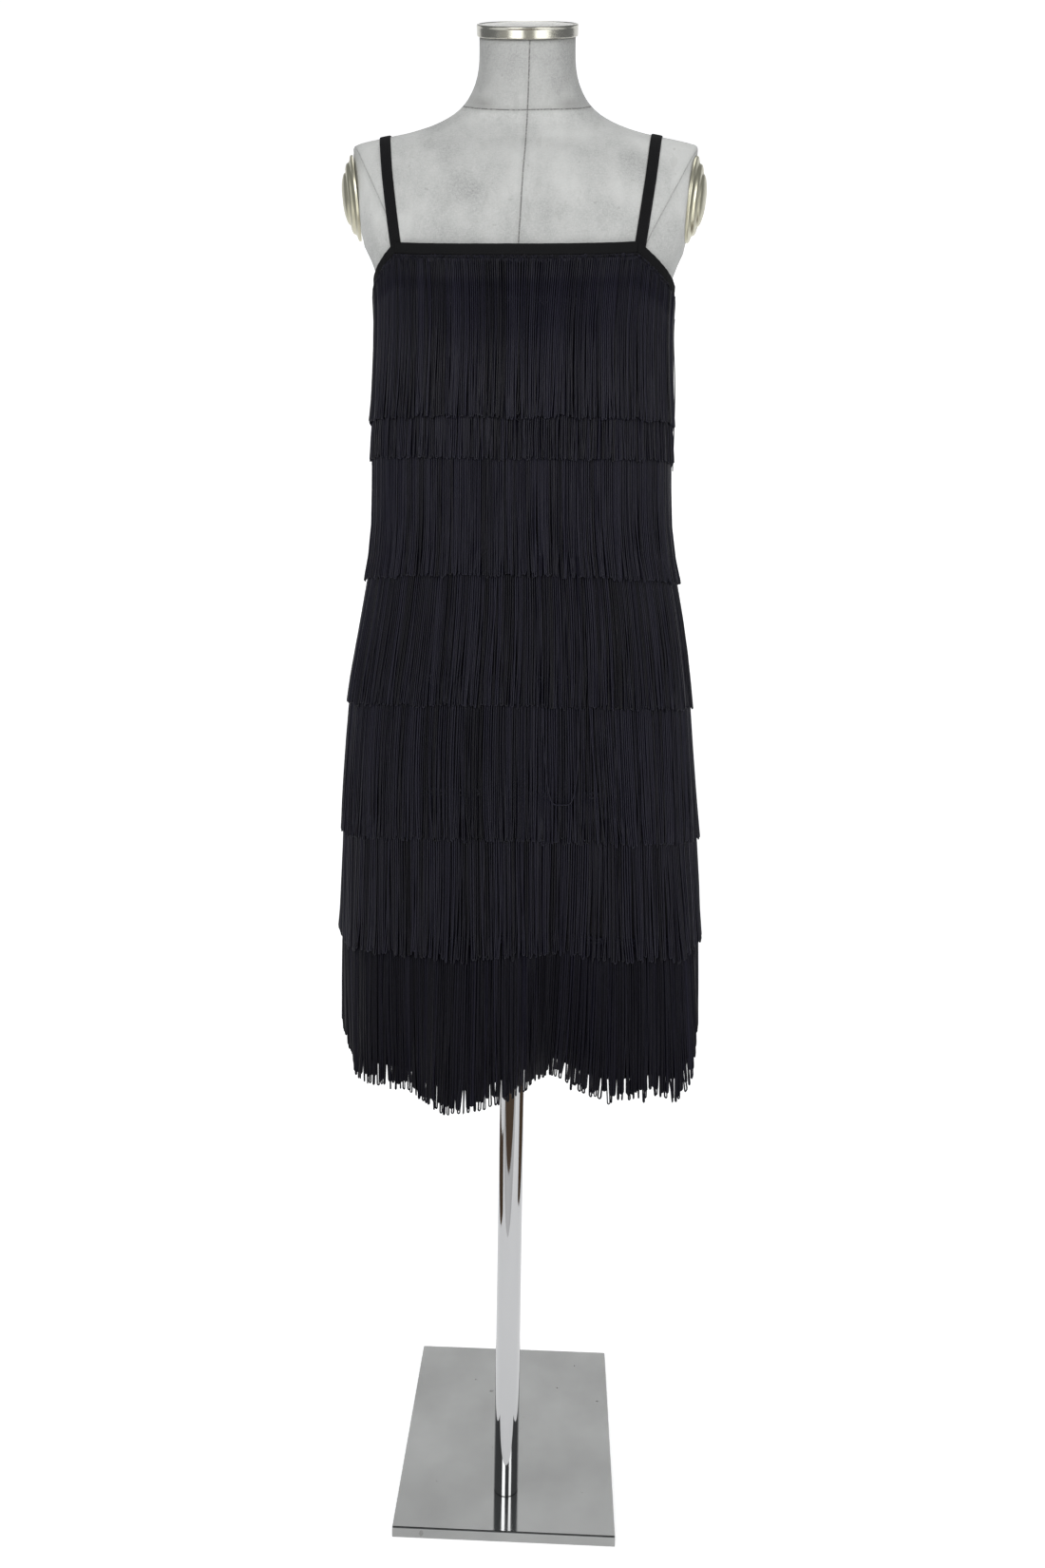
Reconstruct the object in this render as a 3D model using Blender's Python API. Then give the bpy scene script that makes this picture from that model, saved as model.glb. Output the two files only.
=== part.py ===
"""Sleeveless fringed flapper dress, shown on a limbless dress form with a pole and a flat base.

Units are metres, +Z is up and the dress faces -Y. The origin is on the floor under the pole's axis.
Heights in the tables are millimetres above the floor. Widths and depths are measured from the pole's axis.
"""

import math

import bmesh
import bpy
from mathutils import Matrix, Vector
from mathutils.bvhtree import BVHTree

MM = 0.001
SEAM_GAP = 0.3 * MM

# Stand
BASE_WIDTH = 245 * MM
BASE_DEPTH = 294 * MM
BASE_THICKNESS = 11 * MM
BASE_BEVEL = 1.2 * MM
BASE_FRONT_REACH = 61 * MM
POLE_RADIUS = 14 * MM
POLE_WALL = 2 * MM
POLE_SIDES = 32

# Dress form
FORM_COLUMNS = 36
SOCKET_DEPTH = 100 * MM
SOCKET_CLEARANCE = 0.6 * MM
CAP_RADIUS = 58 * MM
CAP_THICKNESS = 13 * MM
CAP_TILT = math.radians(28.7)
ARM_FACE_TIP_HEIGHT = 1550 * MM
ARM_FACE_TIP_X = {1: 196 * MM, -1: 201.5 * MM}
ARM_FACE_LOWEST = 1390 * MM
ARM_FACE_SLOPE = math.radians(7.1)
ARM_FACE_TURN = math.radians(9)
ARM_PLATE_HEIGHT = 1492 * MM
ARM_PLATE_Y = 4 * MM
ARM_PLATE_RADIUS = 48.5 * MM
ARM_PLATE_DEPTH_SHARE = 0.84

# Dress
LOCKS_ROUND = 34
COLUMN_CROWDING = 0.16
DRESS_TURN_SHARE = -0.0105
CLOTH_WALL = 1.5 * MM
HEM_HEIGHT = 534 * MM
FRINGE_END_HEIGHT = 510 * MM
NECK_CENTRE_HEIGHT = 1412 * MM
NECK_CORNER_HEIGHT = 1421 * MM
UNDERARM_HEIGHT = 1386 * MM
FRONT_STRAP_COLUMN = 4
BACK_STRAP_COLUMN = 4
BINDING_HEIGHT = 13 * MM
BINDING_WALL = 1.0 * MM
STRAP_WIDTH = 13 * MM
STRAP_THICKNESS = 1.6 * MM
STRAP_LIFT = 2.0 * MM
STRAP_RIDGE_SHARES = [0.2, 0.45, 0.7, 0.9]
STRAP_TURN_DEGREES = range(30, 151, 6)
# How far a strap has gone towards its place on the shoulder where the shoulder's round starts
STRAP_LEAN_SHARE = 0.58
STRAP_FOOT_OUT = {1: 3 * MM, -1: 0}
SHOULDER_STRAP_X = {1: 150.5 * MM, -1: 163.5 * MM}
RAY_START = 400 * MM
SHOULDER_CENTRE_Y = 8 * MM
SHOULDER_CENTRE_HEIGHT = 1508 * MM

# Fringe trims: a braid and the locks that hang from it
BRAID_HEIGHT = 8 * MM
BRAID_WALL = 1.6 * MM
BRAID_OUT = CLOTH_WALL + 0.5 * MM
LOCK_GAP_SHARE = 0.03
LOCK_TAPER_SHARE = 0.03
LOCK_LENGTH_SWING = 3 * MM
LOCK_SWING_STEP = 2.4

# Heights of the widest rings, in mm
BUST_HEIGHT = 1330
HIP_HEIGHT = 900

# Rings of the dress form, from its underside up to its neck.
# height, half width, reach to the front, reach to the back, squareness (2 is an ellipse),
# shift of the ring along Y, forward tilt of the ring in degrees
FORM_RINGS = [
    (808, 152, 90, 100, 2.3, 0, 0),
    (822, 161, 97, 108, 2.3, 0, 0),
    (870, 171, 103, 118, 2.3, 0, 0),
    (920, 165, 102, 111, 2.3, 0, 0),
    (970, 149, 97, 95, 2.3, 0, 0),
    (1020, 131, 89, 82, 2.25, 0, 0),
    (1060, 123, 85, 77, 2.2, 0, 0),
    (1105, 127, 88, 79, 2.2, 0, 0),
    (1150, 138, 97, 85, 2.25, 0, 0),
    (1200, 149, 109, 91, 2.3, 0, 0),
    (1250, 156, 119, 96, 2.3, 0, 0),
    (1290, 159, 118, 99, 2.3, 0, 0),
    (1330, 161, 109, 100, 2.35, 0, 0),
    (1370, 164, 98, 101, 2.4, 0, 0),
    (1405, 171, 89, 100, 2.45, 0, 0),
    (1440, 187, 81, 98, 2.6, 0, 0),
    (1470, 195, 73, 95, 2.7, 0, 1),
    (1500, 199, 64, 89, 2.7, 0, 2),
    (1526, 201, 56, 82, 2.6, 2, 4),
    (1542, 200, 50, 75, 2.4, 4, 6),
    (1552, 198, 46, 70, 2.2, 5, 8),
    (1559, 176, 45, 66, 2.05, 6, 10),
    (1568, 140, 46, 63, 1.9, 8, 13),
    (1577, 113, 47, 60, 1.85, 9, 16),
    (1587, 92, 49, 58, 1.9, 9, 19),
    (1597, 78, 51, 57, 1.95, 8, 22),
    (1607, 69, 52, 56, 2.0, 6, 24),
    (1619, 62, 53, 55.5, 2.0, 3, 26),
    (1632, 57.5, 53.5, 55, 2.0, 0, 27.5),
    (1647, 55.2, 54, 54.6, 2.0, -5, 28.7),
    (1671, 54.7, 54.7, 54.7, 2.0, -14, 28.7),
]

# Rings of the dress, inside of the cloth. height, half width, front, back, squareness, shift along X
DRESS_RINGS = [
    (1424, 171, 90, 104, 2.6, 0),
    (1390, 169, 98, 104.5, 2.5, 0),
    (1340, 164.5, 112, 104, 2.4, 0),
    (1295, 163.5, 122, 103, 2.35, 0),
    (1250, 163.5, 125, 101.5, 2.35, 0),
    (1200, 165.5, 124.5, 100, 2.3, 0),
    (1150, 165.5, 122.5, 98.5, 2.3, 0.5),
    (1100, 166, 120, 98, 2.3, 1.5),
    (1050, 172, 118, 100, 2.3, 3),
    (1000, 180, 117.5, 107, 2.3, 3.5),
    (950, 186.5, 118.5, 117, 2.3, 2.5),
    (900, 190.5, 120, 124, 2.3, 2),
    (850, 193, 121, 127, 2.3, 2.5),
    (800, 195.5, 121.5, 128, 2.25, 3.5),
    (700, 198, 122, 128, 2.2, 5.5),
    (600, 198, 122.5, 127, 2.2, 6.5),
    (500, 195, 122.5, 126, 2.2, 7),
]

# Soft folds of the skirt, where it hangs free below the form.
# angle from the front centre towards +X, half spread (both degrees), reach at the fringe's end in mm
SKIRT_FOLDS = [
    (11, 11, -66),
    (-14, 10, 17),
    (38, 11, 8),
    (60, 11, 18),
    (-34, 10, -8),
    (-72, 10, -9),
    (112, 12, 10),
    (138, 13, -34),
    (163, 12, 14),
    (-168, 13, -40),
    (-143, 12, 15),
    (-112, 12, -12),
]
FOLD_START_HEIGHT = 800 * MM
FOLD_GROWTH = 1.57

# How far a level line round the dress hangs lower at the sides than at the front. height, drop
SIDE_DROPS = [(500, -4), (640, 16), (790, 15), (921, 9), (1057, 6), (1180, -8), (1350, 0)]

# Where the hem hangs lower (or, below zero, is lifted). angle, half spread (both degrees), drop at the hem.
# The drop grows evenly from HEM_DROP_START down to the fringe's end.
HEM_DROPS = [(-20, 17, 10), (24, 8, 4), (54, 7, 12), (72, 10, -48), (92, 12, -34), (-60, 12, 9), (-92, 17, -32)]
HEM_DROP_START = 700 * MM

# Fringe trims from the neckline down. name, height of the braid's top (none: it follows the neckline),
# then the rows of the hanging locks: (height, how far out of the cloth's inside)
FRINGE_TIERS = [
    ("fringe_1", None, [(1354, 4.1), (1305, 5.5), (1266, 6.5), (1221, 7.4)]),
    ("fringe_2", 1352, [(1305, 2.9), (1266, 3.5), (1231, 4.2), (1178, 5.2)]),
    ("fringe_3", 1227.5, [(1160, 3.2), (1100, 4.5), (1057, 6.5)]),
    ("fringe_4", 1094, [(1026, 3.2), (961, 4.2), (921, 5.5)]),
    ("fringe_5", 955, [(898, 3.2), (842, 4.2), (781, 5.5)]),
    ("fringe_6", 836, [(760, 3.4), (690, 5.0), (660, 6.4)]),
    ("fringe_7", 684, [(624, 3.2), (566, 3.8), (510, 4.4)]),
]

# Rows of the two body panels between the neckline and the hem, in mm
PANEL_ROWS = (1354, 1305, 1266, 1223, 1156, 1090, 1026, 951, 895, 832, 760, 684, 676, 624, 566)

# Colours and finishes: name, colour, roughness, metallic
MATERIALS = {
    "cloth": ((0.012, 0.012, 0.015, 1.0), 0.85, 0.0),
    "fringe": ((0.016, 0.016, 0.021, 1.0), 0.6, 0.0),
    "form_cover": ((0.48, 0.49, 0.49, 1.0), 0.8, 0.0),
    "brushed_nickel": ((0.62, 0.60, 0.53, 1.0), 0.3, 1.0),
    "chrome": ((0.75, 0.76, 0.78, 1.0), 0.08, 1.0),
    "steel_plate": ((0.55, 0.56, 0.56, 1.0), 0.25, 1.0),
}


def clear_scene():
    for thing in list(bpy.data.objects):
        bpy.data.objects.remove(thing)


def material(name):
    made = bpy.data.materials.get(name)
    if made:
        return made
    colour, roughness, metallic = MATERIALS[name]
    made = bpy.data.materials.new(name)
    made.use_nodes = True
    made.diffuse_color = colour
    shader = made.node_tree.nodes["Principled BSDF"]
    shader.inputs["Base Color"].default_value = colour
    shader.inputs["Roughness"].default_value = roughness
    shader.inputs["Metallic"].default_value = metallic
    return made


def object_from(bm, name, finish, smooth_angle=None):
    """A named object from a bmesh whose faces are turned outwards first."""
    bmesh.ops.recalc_face_normals(bm, faces=bm.faces)
    mesh = bpy.data.meshes.new(name)
    bm.to_mesh(mesh)
    bm.free()
    if smooth_angle is not None:
        mesh.shade_smooth()
        mesh.set_sharp_from_angle(angle=math.radians(smooth_angle))
    made = bpy.data.objects.new(name, mesh)
    made.data.materials.append(material(finish))
    bpy.context.scene.collection.objects.link(made)
    return made


def ring_sizes(rings, height):
    """The columns of a table of rings at any height (mm), on a smooth curve through its rows."""
    rows = sorted(rings)
    height = min(max(height, rows[0][0]), rows[-1][0])
    low = max(i for i in range(len(rows) - 1) if rows[i][0] <= height)
    span = rows[low + 1][0] - rows[low][0]
    u = (height - rows[low][0]) / span

    def slope(i, column):
        before, after = rows[max(i - 1, 0)], rows[min(i + 1, len(rows) - 1)]
        return (after[column] - before[column]) / (after[0] - before[0]) * span

    sizes = []
    for column in range(1, len(rows[0])):
        start, end = rows[low][column], rows[low + 1][column]
        leave, arrive = slope(low, column), slope(low + 1, column)
        sizes.append(
            start
            + leave * u
            + (3 * (end - start) - 2 * leave - arrive) * u * u
            + (2 * (start - end) + leave + arrive) * u**3
        )
    return sizes


def ring_point(angle, half_width, front, back, squareness):
    """A point of a ring in plan. The angle runs from the front centre (-Y) towards +X."""
    s, c = math.sin(angle), math.cos(angle)
    reach = front if c > 0 else back
    x = half_width * math.copysign(abs(s) ** (2 / squareness), s)
    y = -reach * math.copysign(abs(c) ** (2 / squareness), c)
    return x, y


def angles_at_shares(shares, rings, height):
    """The angles at rising shares (0 to 1) of the way round a ring."""
    sizes = ring_sizes(rings, height)
    steps = 2880
    points = [Vector(ring_point(2 * math.pi * i / steps, *sizes[:4])) for i in range(steps + 1)]
    run = [0.0]
    for before, after in zip(points, points[1:]):
        run.append(run[-1] + (after - before).length)
    angles, i = [], 0
    for ring_share in shares:
        wanted = run[-1] * ring_share
        while run[i + 1] < wanted:
            i += 1
        share = (wanted - run[i]) / (run[i + 1] - run[i])
        angles.append(2 * math.pi * (i + share) / steps)
    return angles


def split_quad(bm, a, b, c, d):
    """Two triangles on the diagonal from a to c, so that layers of cloth bend along the same lines."""
    bm.faces.new((a, b, c))
    bm.faces.new((a, c, d))


def grid_solid(bm, rows_of_points, wrap):
    """Faces over rows of points of equal length. Joins each row's ends if wrap is true. Returns the vertices."""
    grid = [[bm.verts.new(p) for p in row] for row in rows_of_points]
    count = len(grid[0])
    for upper, lower in zip(grid, grid[1:]):
        for j in range(count if wrap else count - 1):
            k = (j + 1) % count
            split_quad(bm, upper[j], upper[k], lower[k], lower[j])
    return grid


def wall_solid(name, finish, inside_rows, outside_rows):
    """A closed wall between two grids of the same size, for a piece with a left and a right edge."""
    bm = bmesh.new()
    inside = grid_solid(bm, inside_rows, wrap=False)
    outside = grid_solid(bm, outside_rows, wrap=False)
    for a, b in ((inside[0], outside[0]), (inside[-1], outside[-1])):
        for j in range(len(a) - 1):
            bm.faces.new((a[j], a[j + 1], b[j + 1], b[j]))
    for j in (0, -1):
        for i in range(len(inside) - 1):
            bm.faces.new((inside[i][j], inside[i + 1][j], outside[i + 1][j], outside[i][j]))
    return object_from(bm, name, finish, smooth_angle=40)


def turned_solid(name, finish, profile, steps):
    """A solid of revolution about its own Z axis. The profile's (radius, height) points end on the axis."""
    bm = bmesh.new()
    line = [bm.verts.new((radius, 0, height)) for radius, height in profile]
    edges = [bm.edges.new(pair) for pair in zip(line, line[1:])]
    bmesh.ops.spin(
        bm, geom=line + edges, axis=(0, 0, 1), cent=(0, 0, 0),
        angle=2 * math.pi, steps=steps, use_merge=True,
    )
    bmesh.ops.remove_doubles(bm, verts=bm.verts, dist=0.01 * MM)
    return object_from(bm, name, finish, smooth_angle=35)


# Dress form


def arm_face_x(y, z, side):
    """How far out the flat end of a shoulder stands. side is 1 for +X."""
    lean = (ARM_FACE_TIP_HEIGHT - z) * math.tan(ARM_FACE_SLOPE)
    return ARM_FACE_TIP_X[side] - lean + y * math.tan(ARM_FACE_TURN)


def form_ring(height, angles):
    half_width, front, back, squareness, shift, tilt = ring_sizes(FORM_RINGS, height)
    tilt = math.radians(tilt)
    points = []
    for angle in angles:
        x, depth = ring_point(angle, half_width * MM, front * MM, back * MM, squareness)
        y = depth * math.cos(tilt) + shift * MM
        z = height * MM + depth * math.sin(tilt)
        if z > ARM_FACE_LOWEST:
            x = math.copysign(min(abs(x), arm_face_x(y, z, 1 if x > 0 else -1)), x)
        points.append((x, y, z))
    return points


def build_form():
    shares = [(k + 0.5) / FORM_COLUMNS for k in range(FORM_COLUMNS)]
    angles = angles_at_shares(shares, FORM_RINGS, BUST_HEIGHT)
    bm = bmesh.new()
    grid = grid_solid(bm, [form_ring(row[0], angles) for row in FORM_RINGS], wrap=True)
    bm.faces.new(grid[0])
    bm.faces.new(grid[-1])
    form = object_from(bm, "form_torso", "form_cover", smooth_angle=50)

    underside = FORM_RINGS[0][0] * MM
    bm = bmesh.new()
    bmesh.ops.create_cone(
        bm, cap_ends=True, segments=POLE_SIDES, depth=2 * SOCKET_DEPTH,
        radius1=POLE_RADIUS + SOCKET_CLEARANCE, radius2=POLE_RADIUS + SOCKET_CLEARANCE,
    )
    socket = object_from(bm, "socket_cutter", "form_cover")
    socket.location.z = underside
    socket.hide_render = True
    socket.display_type = "WIRE"
    cut = form.modifiers.new("socket", "BOOLEAN")
    cut.operation = "DIFFERENCE"
    cut.object = socket
    return form


def build_neck_cap():
    top = FORM_RINGS[-1]
    lip = 1.5 * MM
    profile = [
        (0, 0),
        (CAP_RADIUS - lip, 0),
        (CAP_RADIUS, lip),
        (CAP_RADIUS, CAP_THICKNESS - lip),
        (CAP_RADIUS - lip, CAP_THICKNESS),
        (CAP_RADIUS * 0.6, CAP_THICKNESS + 0.6 * MM),
        (0, CAP_THICKNESS + 1.0 * MM),
    ]
    cap = turned_solid("neck_cap", "brushed_nickel", profile, 32)
    axis = Vector((0, -math.sin(CAP_TILT), math.cos(CAP_TILT)))
    cap.rotation_euler.x = CAP_TILT
    cap.location = Vector((0, top[5] * MM, top[0] * MM)) + axis * SEAM_GAP


def build_arm_plate(name, side):
    """A domed metal plate with two turned rings, on the flat end of the shoulder. side is 1 for +X."""
    r = ARM_PLATE_RADIUS
    profile = [
        (0, 0), (r, 0), (r, 3 * MM), (r - 3 * MM, 6 * MM), (r - 9 * MM, 7.3 * MM),
        (r - 12 * MM, 10.3 * MM), (r - 20 * MM, 12.7 * MM), (r - 24 * MM, 13.4 * MM),
        (r - 27 * MM, 15.3 * MM), (r - 38 * MM, 16.8 * MM), (0, 17 * MM),
    ]
    plate = turned_solid(name, "brushed_nickel", profile, 24)
    normal = Vector((
        math.cos(ARM_FACE_TURN) * math.cos(ARM_FACE_SLOPE),
        -math.sin(ARM_FACE_TURN) * math.cos(ARM_FACE_SLOPE),
        -math.sin(ARM_FACE_SLOPE),
    ))
    place = Vector((arm_face_x(ARM_PLATE_Y, ARM_PLATE_HEIGHT, side), ARM_PLATE_Y, ARM_PLATE_HEIGHT))
    up = (Vector((0, 0, 1)) - normal * normal.z).normalized()
    across = up.cross(normal)
    turn = Matrix((across, up, normal)).transposed()
    squeeze = Matrix.Diagonal((ARM_PLATE_DEPTH_SHARE, 1, 1))
    points = turn @ squeeze
    plate.data.transform(points.to_4x4())
    plate.data.transform(Matrix.Translation(place + normal * SEAM_GAP))
    if side < 0:
        plate.data.transform(Matrix.Scale(-1, 4, (1, 0, 0)))
        plate.data.flip_normals()


# Stand


def build_base():
    bm = bmesh.new()
    bmesh.ops.create_cube(bm, size=1)
    bmesh.ops.scale(bm, vec=(BASE_WIDTH, BASE_DEPTH, BASE_THICKNESS), verts=bm.verts)
    edges = [e for e in bm.edges if any(v.co.z > 0 for v in e.verts)]
    bmesh.ops.bevel(bm, geom=edges, offset=BASE_BEVEL, offset_type="OFFSET", segments=2,
                    profile=0.5, affect="EDGES", material=-1)
    base = object_from(bm, "base_plate", "steel_plate", smooth_angle=30)
    base.location = (0, BASE_DEPTH / 2 - BASE_FRONT_REACH, BASE_THICKNESS / 2)


def build_pole():
    foot = BASE_THICKNESS + SEAM_GAP
    top = FORM_RINGS[0][0] * MM + SOCKET_DEPTH - SEAM_GAP
    bm = bmesh.new()
    outer, inner = POLE_RADIUS, POLE_RADIUS - POLE_WALL
    line = [bm.verts.new(p) for p in ((outer, 0, foot), (outer, 0, top), (inner, 0, top), (inner, 0, foot))]
    edges = [bm.edges.new(pair) for pair in zip(line, line[1:] + line[:1])]
    bmesh.ops.spin(bm, geom=line + edges, axis=(0, 0, 1), cent=(0, 0, 0),
                   angle=2 * math.pi, steps=POLE_SIDES, use_merge=True)
    bmesh.ops.remove_doubles(bm, verts=bm.verts, dist=0.01 * MM)
    object_from(bm, "pole", "chrome", smooth_angle=35)


# Dress


def column_shares():
    """Shares of the way round at the dress's columns: closer at the sides, and turned a little on the form."""
    even = [(k + 0.5) / LOCKS_ROUND for k in range(LOCKS_ROUND)]
    crowded = [share + COLUMN_CROWDING * math.sin(4 * math.pi * share) / (4 * math.pi) for share in even]
    return [share + DRESS_TURN_SHARE for share in crowded]


COLUMN_ANGLES = angles_at_shares(column_shares(), DRESS_RINGS, HIP_HEIGHT)
FRONT_CORNERS = (COLUMN_ANGLES[-1 - FRONT_STRAP_COLUMN] - 2 * math.pi, COLUMN_ANGLES[FRONT_STRAP_COLUMN])
FRONT_CENTRE_ANGLE = sum(FRONT_CORNERS) / 2


def fold_reach(angle, height):
    """How far the folds move the skirt out (or, below zero, in) at this angle and height, in metres."""
    free = max(0.0, (FOLD_START_HEIGHT - height) / (FOLD_START_HEIGHT - FRINGE_END_HEIGHT))
    return bumps(SKIRT_FOLDS, angle) * MM * free**FOLD_GROWTH


def neckline_height(angle):
    """The top edge: a slight dip between the straps, a curve down to the underarm and a level back."""
    corner = FRONT_CORNERS[1] - FRONT_CENTRE_ANGLE
    away = abs((angle - FRONT_CENTRE_ANGLE + math.pi) % (2 * math.pi) - math.pi)
    if away <= corner:
        share = away / corner
        return NECK_CENTRE_HEIGHT + (NECK_CORNER_HEIGHT - NECK_CENTRE_HEIGHT) * share**2
    share = min(1.0, (away - corner) / (math.pi / 2 - corner))
    return UNDERARM_HEIGHT + (NECK_CORNER_HEIGHT - UNDERARM_HEIGHT) * (1 - share) ** 1.6


def side_drop(height):
    """How much lower a line round the dress runs at the sides, in metres, for a height in mm."""
    for (low, low_drop), (high, high_drop) in zip(SIDE_DROPS, SIDE_DROPS[1:]):
        if low <= height <= high:
            return (low_drop + (high_drop - low_drop) * (height - low) / (high - low)) * MM
    return 0.0


def bumps(rows, angle):
    """The sum at an angle of smooth bumps. Each row is its angle, its half spread (both degrees) and its size."""
    total = 0.0
    for centre, spread, size in rows:
        away = (math.degrees(angle) - centre + 180) % 360 - 180
        total += size * math.exp(-((away / spread) ** 2))
    return total


def level(height):
    """A line round the dress at a height in mm at the front centre. A function of the angle."""
    drop = side_drop(height)
    hem_share = max(0.0, (HEM_DROP_START - height * MM) / (HEM_DROP_START - FRINGE_END_HEIGHT))
    return lambda angle: height * MM - drop * math.sin(angle) ** 2 - hem_share * MM * bumps(HEM_DROPS, angle)


def below_neckline(drop):
    """A line round the dress that runs a distance below its top edge. A function of the angle."""
    return lambda angle: neckline_height(angle) - drop


def dress_line(heights, out):
    """The dress's columns on one line round it, moved out of the cloth's inside by one distance."""
    plan, zs = [], []
    for angle in COLUMN_ANGLES:
        z = heights(angle)
        *sizes, shift = ring_sizes(DRESS_RINGS, z / MM)
        x, y = ring_point(angle, *sizes)
        outward = Vector((x / sizes[0] ** 2, y / (sizes[1] if y < 0 else sizes[2]) ** 2)).normalized()
        plan.append(Vector((x + shift, y)) * MM + outward * fold_reach(angle, z))
        zs.append(z)
    moved = []
    for j, point in enumerate(plan):
        before, after = plan[j - 1], plan[(j + 1) % len(plan)]
        along_in, along_out = (point - before).normalized(), (after - point).normalized()
        normal_in = Vector((along_in.y, -along_in.x))
        normal_out = Vector((along_out.y, -along_out.x))
        shift = (normal_in + normal_out) / (1 + normal_in.dot(normal_out))
        moved.append(Vector((*(point + shift * out), zs[j])))
    return moved


def part_of_line(points, first, count, trim):
    """The points of some whole faces of a line. Both ends are drawn in by trim."""
    run = [points[(first + k) % len(points)] for k in range(count + 1)]
    start = run[0] + (run[1] - run[0]).normalized() * trim
    end = run[-1] + (run[-2] - run[-1]).normalized() * trim
    return [start, *run[1:-1], end]


def side_column():
    """The column at the +X side seam. Column 0 is the first one to the +X side of the front centre."""
    return LOCKS_ROUND // 4


def build_body_panels():
    below = BINDING_HEIGHT + SEAM_GAP
    neckline_rows = [below_neckline(drop) for drop in (0, BINDING_HEIGHT, below + BRAID_HEIGHT)]
    lines = [*neckline_rows, *(level(row) for row in PANEL_ROWS), level(HEM_HEIGHT / MM)]
    inside = [dress_line(line, 0) for line in lines]
    outside = [dress_line(line, CLOTH_WALL) for line in lines]
    side, half = side_column(), LOCKS_ROUND // 2
    for name, first in (("body_front", side - half), ("body_back", side)):
        inner, outer = ([part_of_line(points, first, half, SEAM_GAP / 2) for points in face]
                        for face in (inside, outside))
        wall_solid(name, "cloth", inner, outer)


def build_bindings():
    """The folded band along the top edge, in four pieces that meet at the straps."""
    lines = (below_neckline(0), below_neckline(BINDING_HEIGHT))
    near = CLOTH_WALL + SEAM_GAP
    inside = [dress_line(line, near) for line in lines]
    outside = [dress_line(line, near + BINDING_WALL) for line in lines]
    front_right = FRONT_STRAP_COLUMN
    front_left = -1 - front_right
    back_right = LOCKS_ROUND // 2 - 1 - BACK_STRAP_COLUMN
    back_left = -1 - back_right
    pieces = (
        ("binding_front", front_left, front_right - front_left),
        ("binding_arm_right", front_right, back_right - front_right),
        ("binding_back", back_right, LOCKS_ROUND + back_left - back_right),
        ("binding_arm_left", back_left, front_left - back_left),
    )
    for name, first, count in pieces:
        inner, outer = ([part_of_line(points, first, count, SEAM_GAP / 2) for points in face]
                        for face in (inside, outside))
        wall_solid(name, "cloth", inner, outer)


def build_fringe(name, braid_top, rows, order):
    """One fringe trim: a closed ring of braid with a flat lock under each face of the dress."""
    if braid_top is None:
        below = BINDING_HEIGHT + SEAM_GAP
        top, bottom = below_neckline(below), below_neckline(below + BRAID_HEIGHT)
    else:
        top, bottom = level(braid_top), level(braid_top - BRAID_HEIGHT / MM)
    lines = [(top, BRAID_OUT), (bottom, BRAID_OUT)] + [(level(height), out * MM) for height, out in rows]
    inner = [dress_line(line, out) for line, out in lines]
    outer = [dress_line(line, out + BRAID_WALL) for line, out in lines]

    def post(face, row, column, share):
        start, end = face[row][column], face[row][(column + 1) % LOCKS_ROUND]
        return start.lerp(end, share)

    bm = bmesh.new()
    last = len(lines) - 1
    locks = []
    for column in range(LOCKS_ROUND):
        lock = []
        for row in range(len(lines)):
            inset = LOCK_GAP_SHARE + LOCK_TAPER_SHARE * max(0, row - 1) / (last - 1)
            corners = [
                post(inner, row, column, inset), post(outer, row, column, inset),
                post(outer, row, column, 1 - inset), post(inner, row, column, 1 - inset),
            ]
            if row == last:
                swing = LOCK_LENGTH_SWING * math.sin(LOCK_SWING_STEP * column + order)
                corners = [corner + Vector((0, 0, swing)) for corner in corners]
            lock.append([bm.verts.new(corner) for corner in corners])
        locks.append(lock)
    for column, lock in enumerate(locks):
        beyond = locks[(column + 1) % LOCKS_ROUND]
        bm.faces.new(lock[0])
        for upper, lower in zip(lock, lock[1:]):
            split_quad(bm, upper[1], upper[2], lower[2], lower[1])
            split_quad(bm, upper[0], upper[3], lower[3], lower[0])
        for upper, lower in zip(lock[1:], lock[2:]):
            bm.faces.new((upper[0], upper[1], lower[1], lower[0]))
            bm.faces.new((upper[2], upper[3], lower[3], lower[2]))
        bm.faces.new(lock[-1])
        for a, b in ((0, 1), (1, 0)):
            bm.faces.new((lock[a][2], lock[a][3], beyond[a][0], beyond[a][1]))
        bm.faces.new((lock[0][2], beyond[0][1], beyond[1][1], lock[1][2]))
        bm.faces.new((lock[0][3], beyond[0][0], beyond[1][0], lock[1][3]))
    object_from(bm, name, "fringe")


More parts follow.
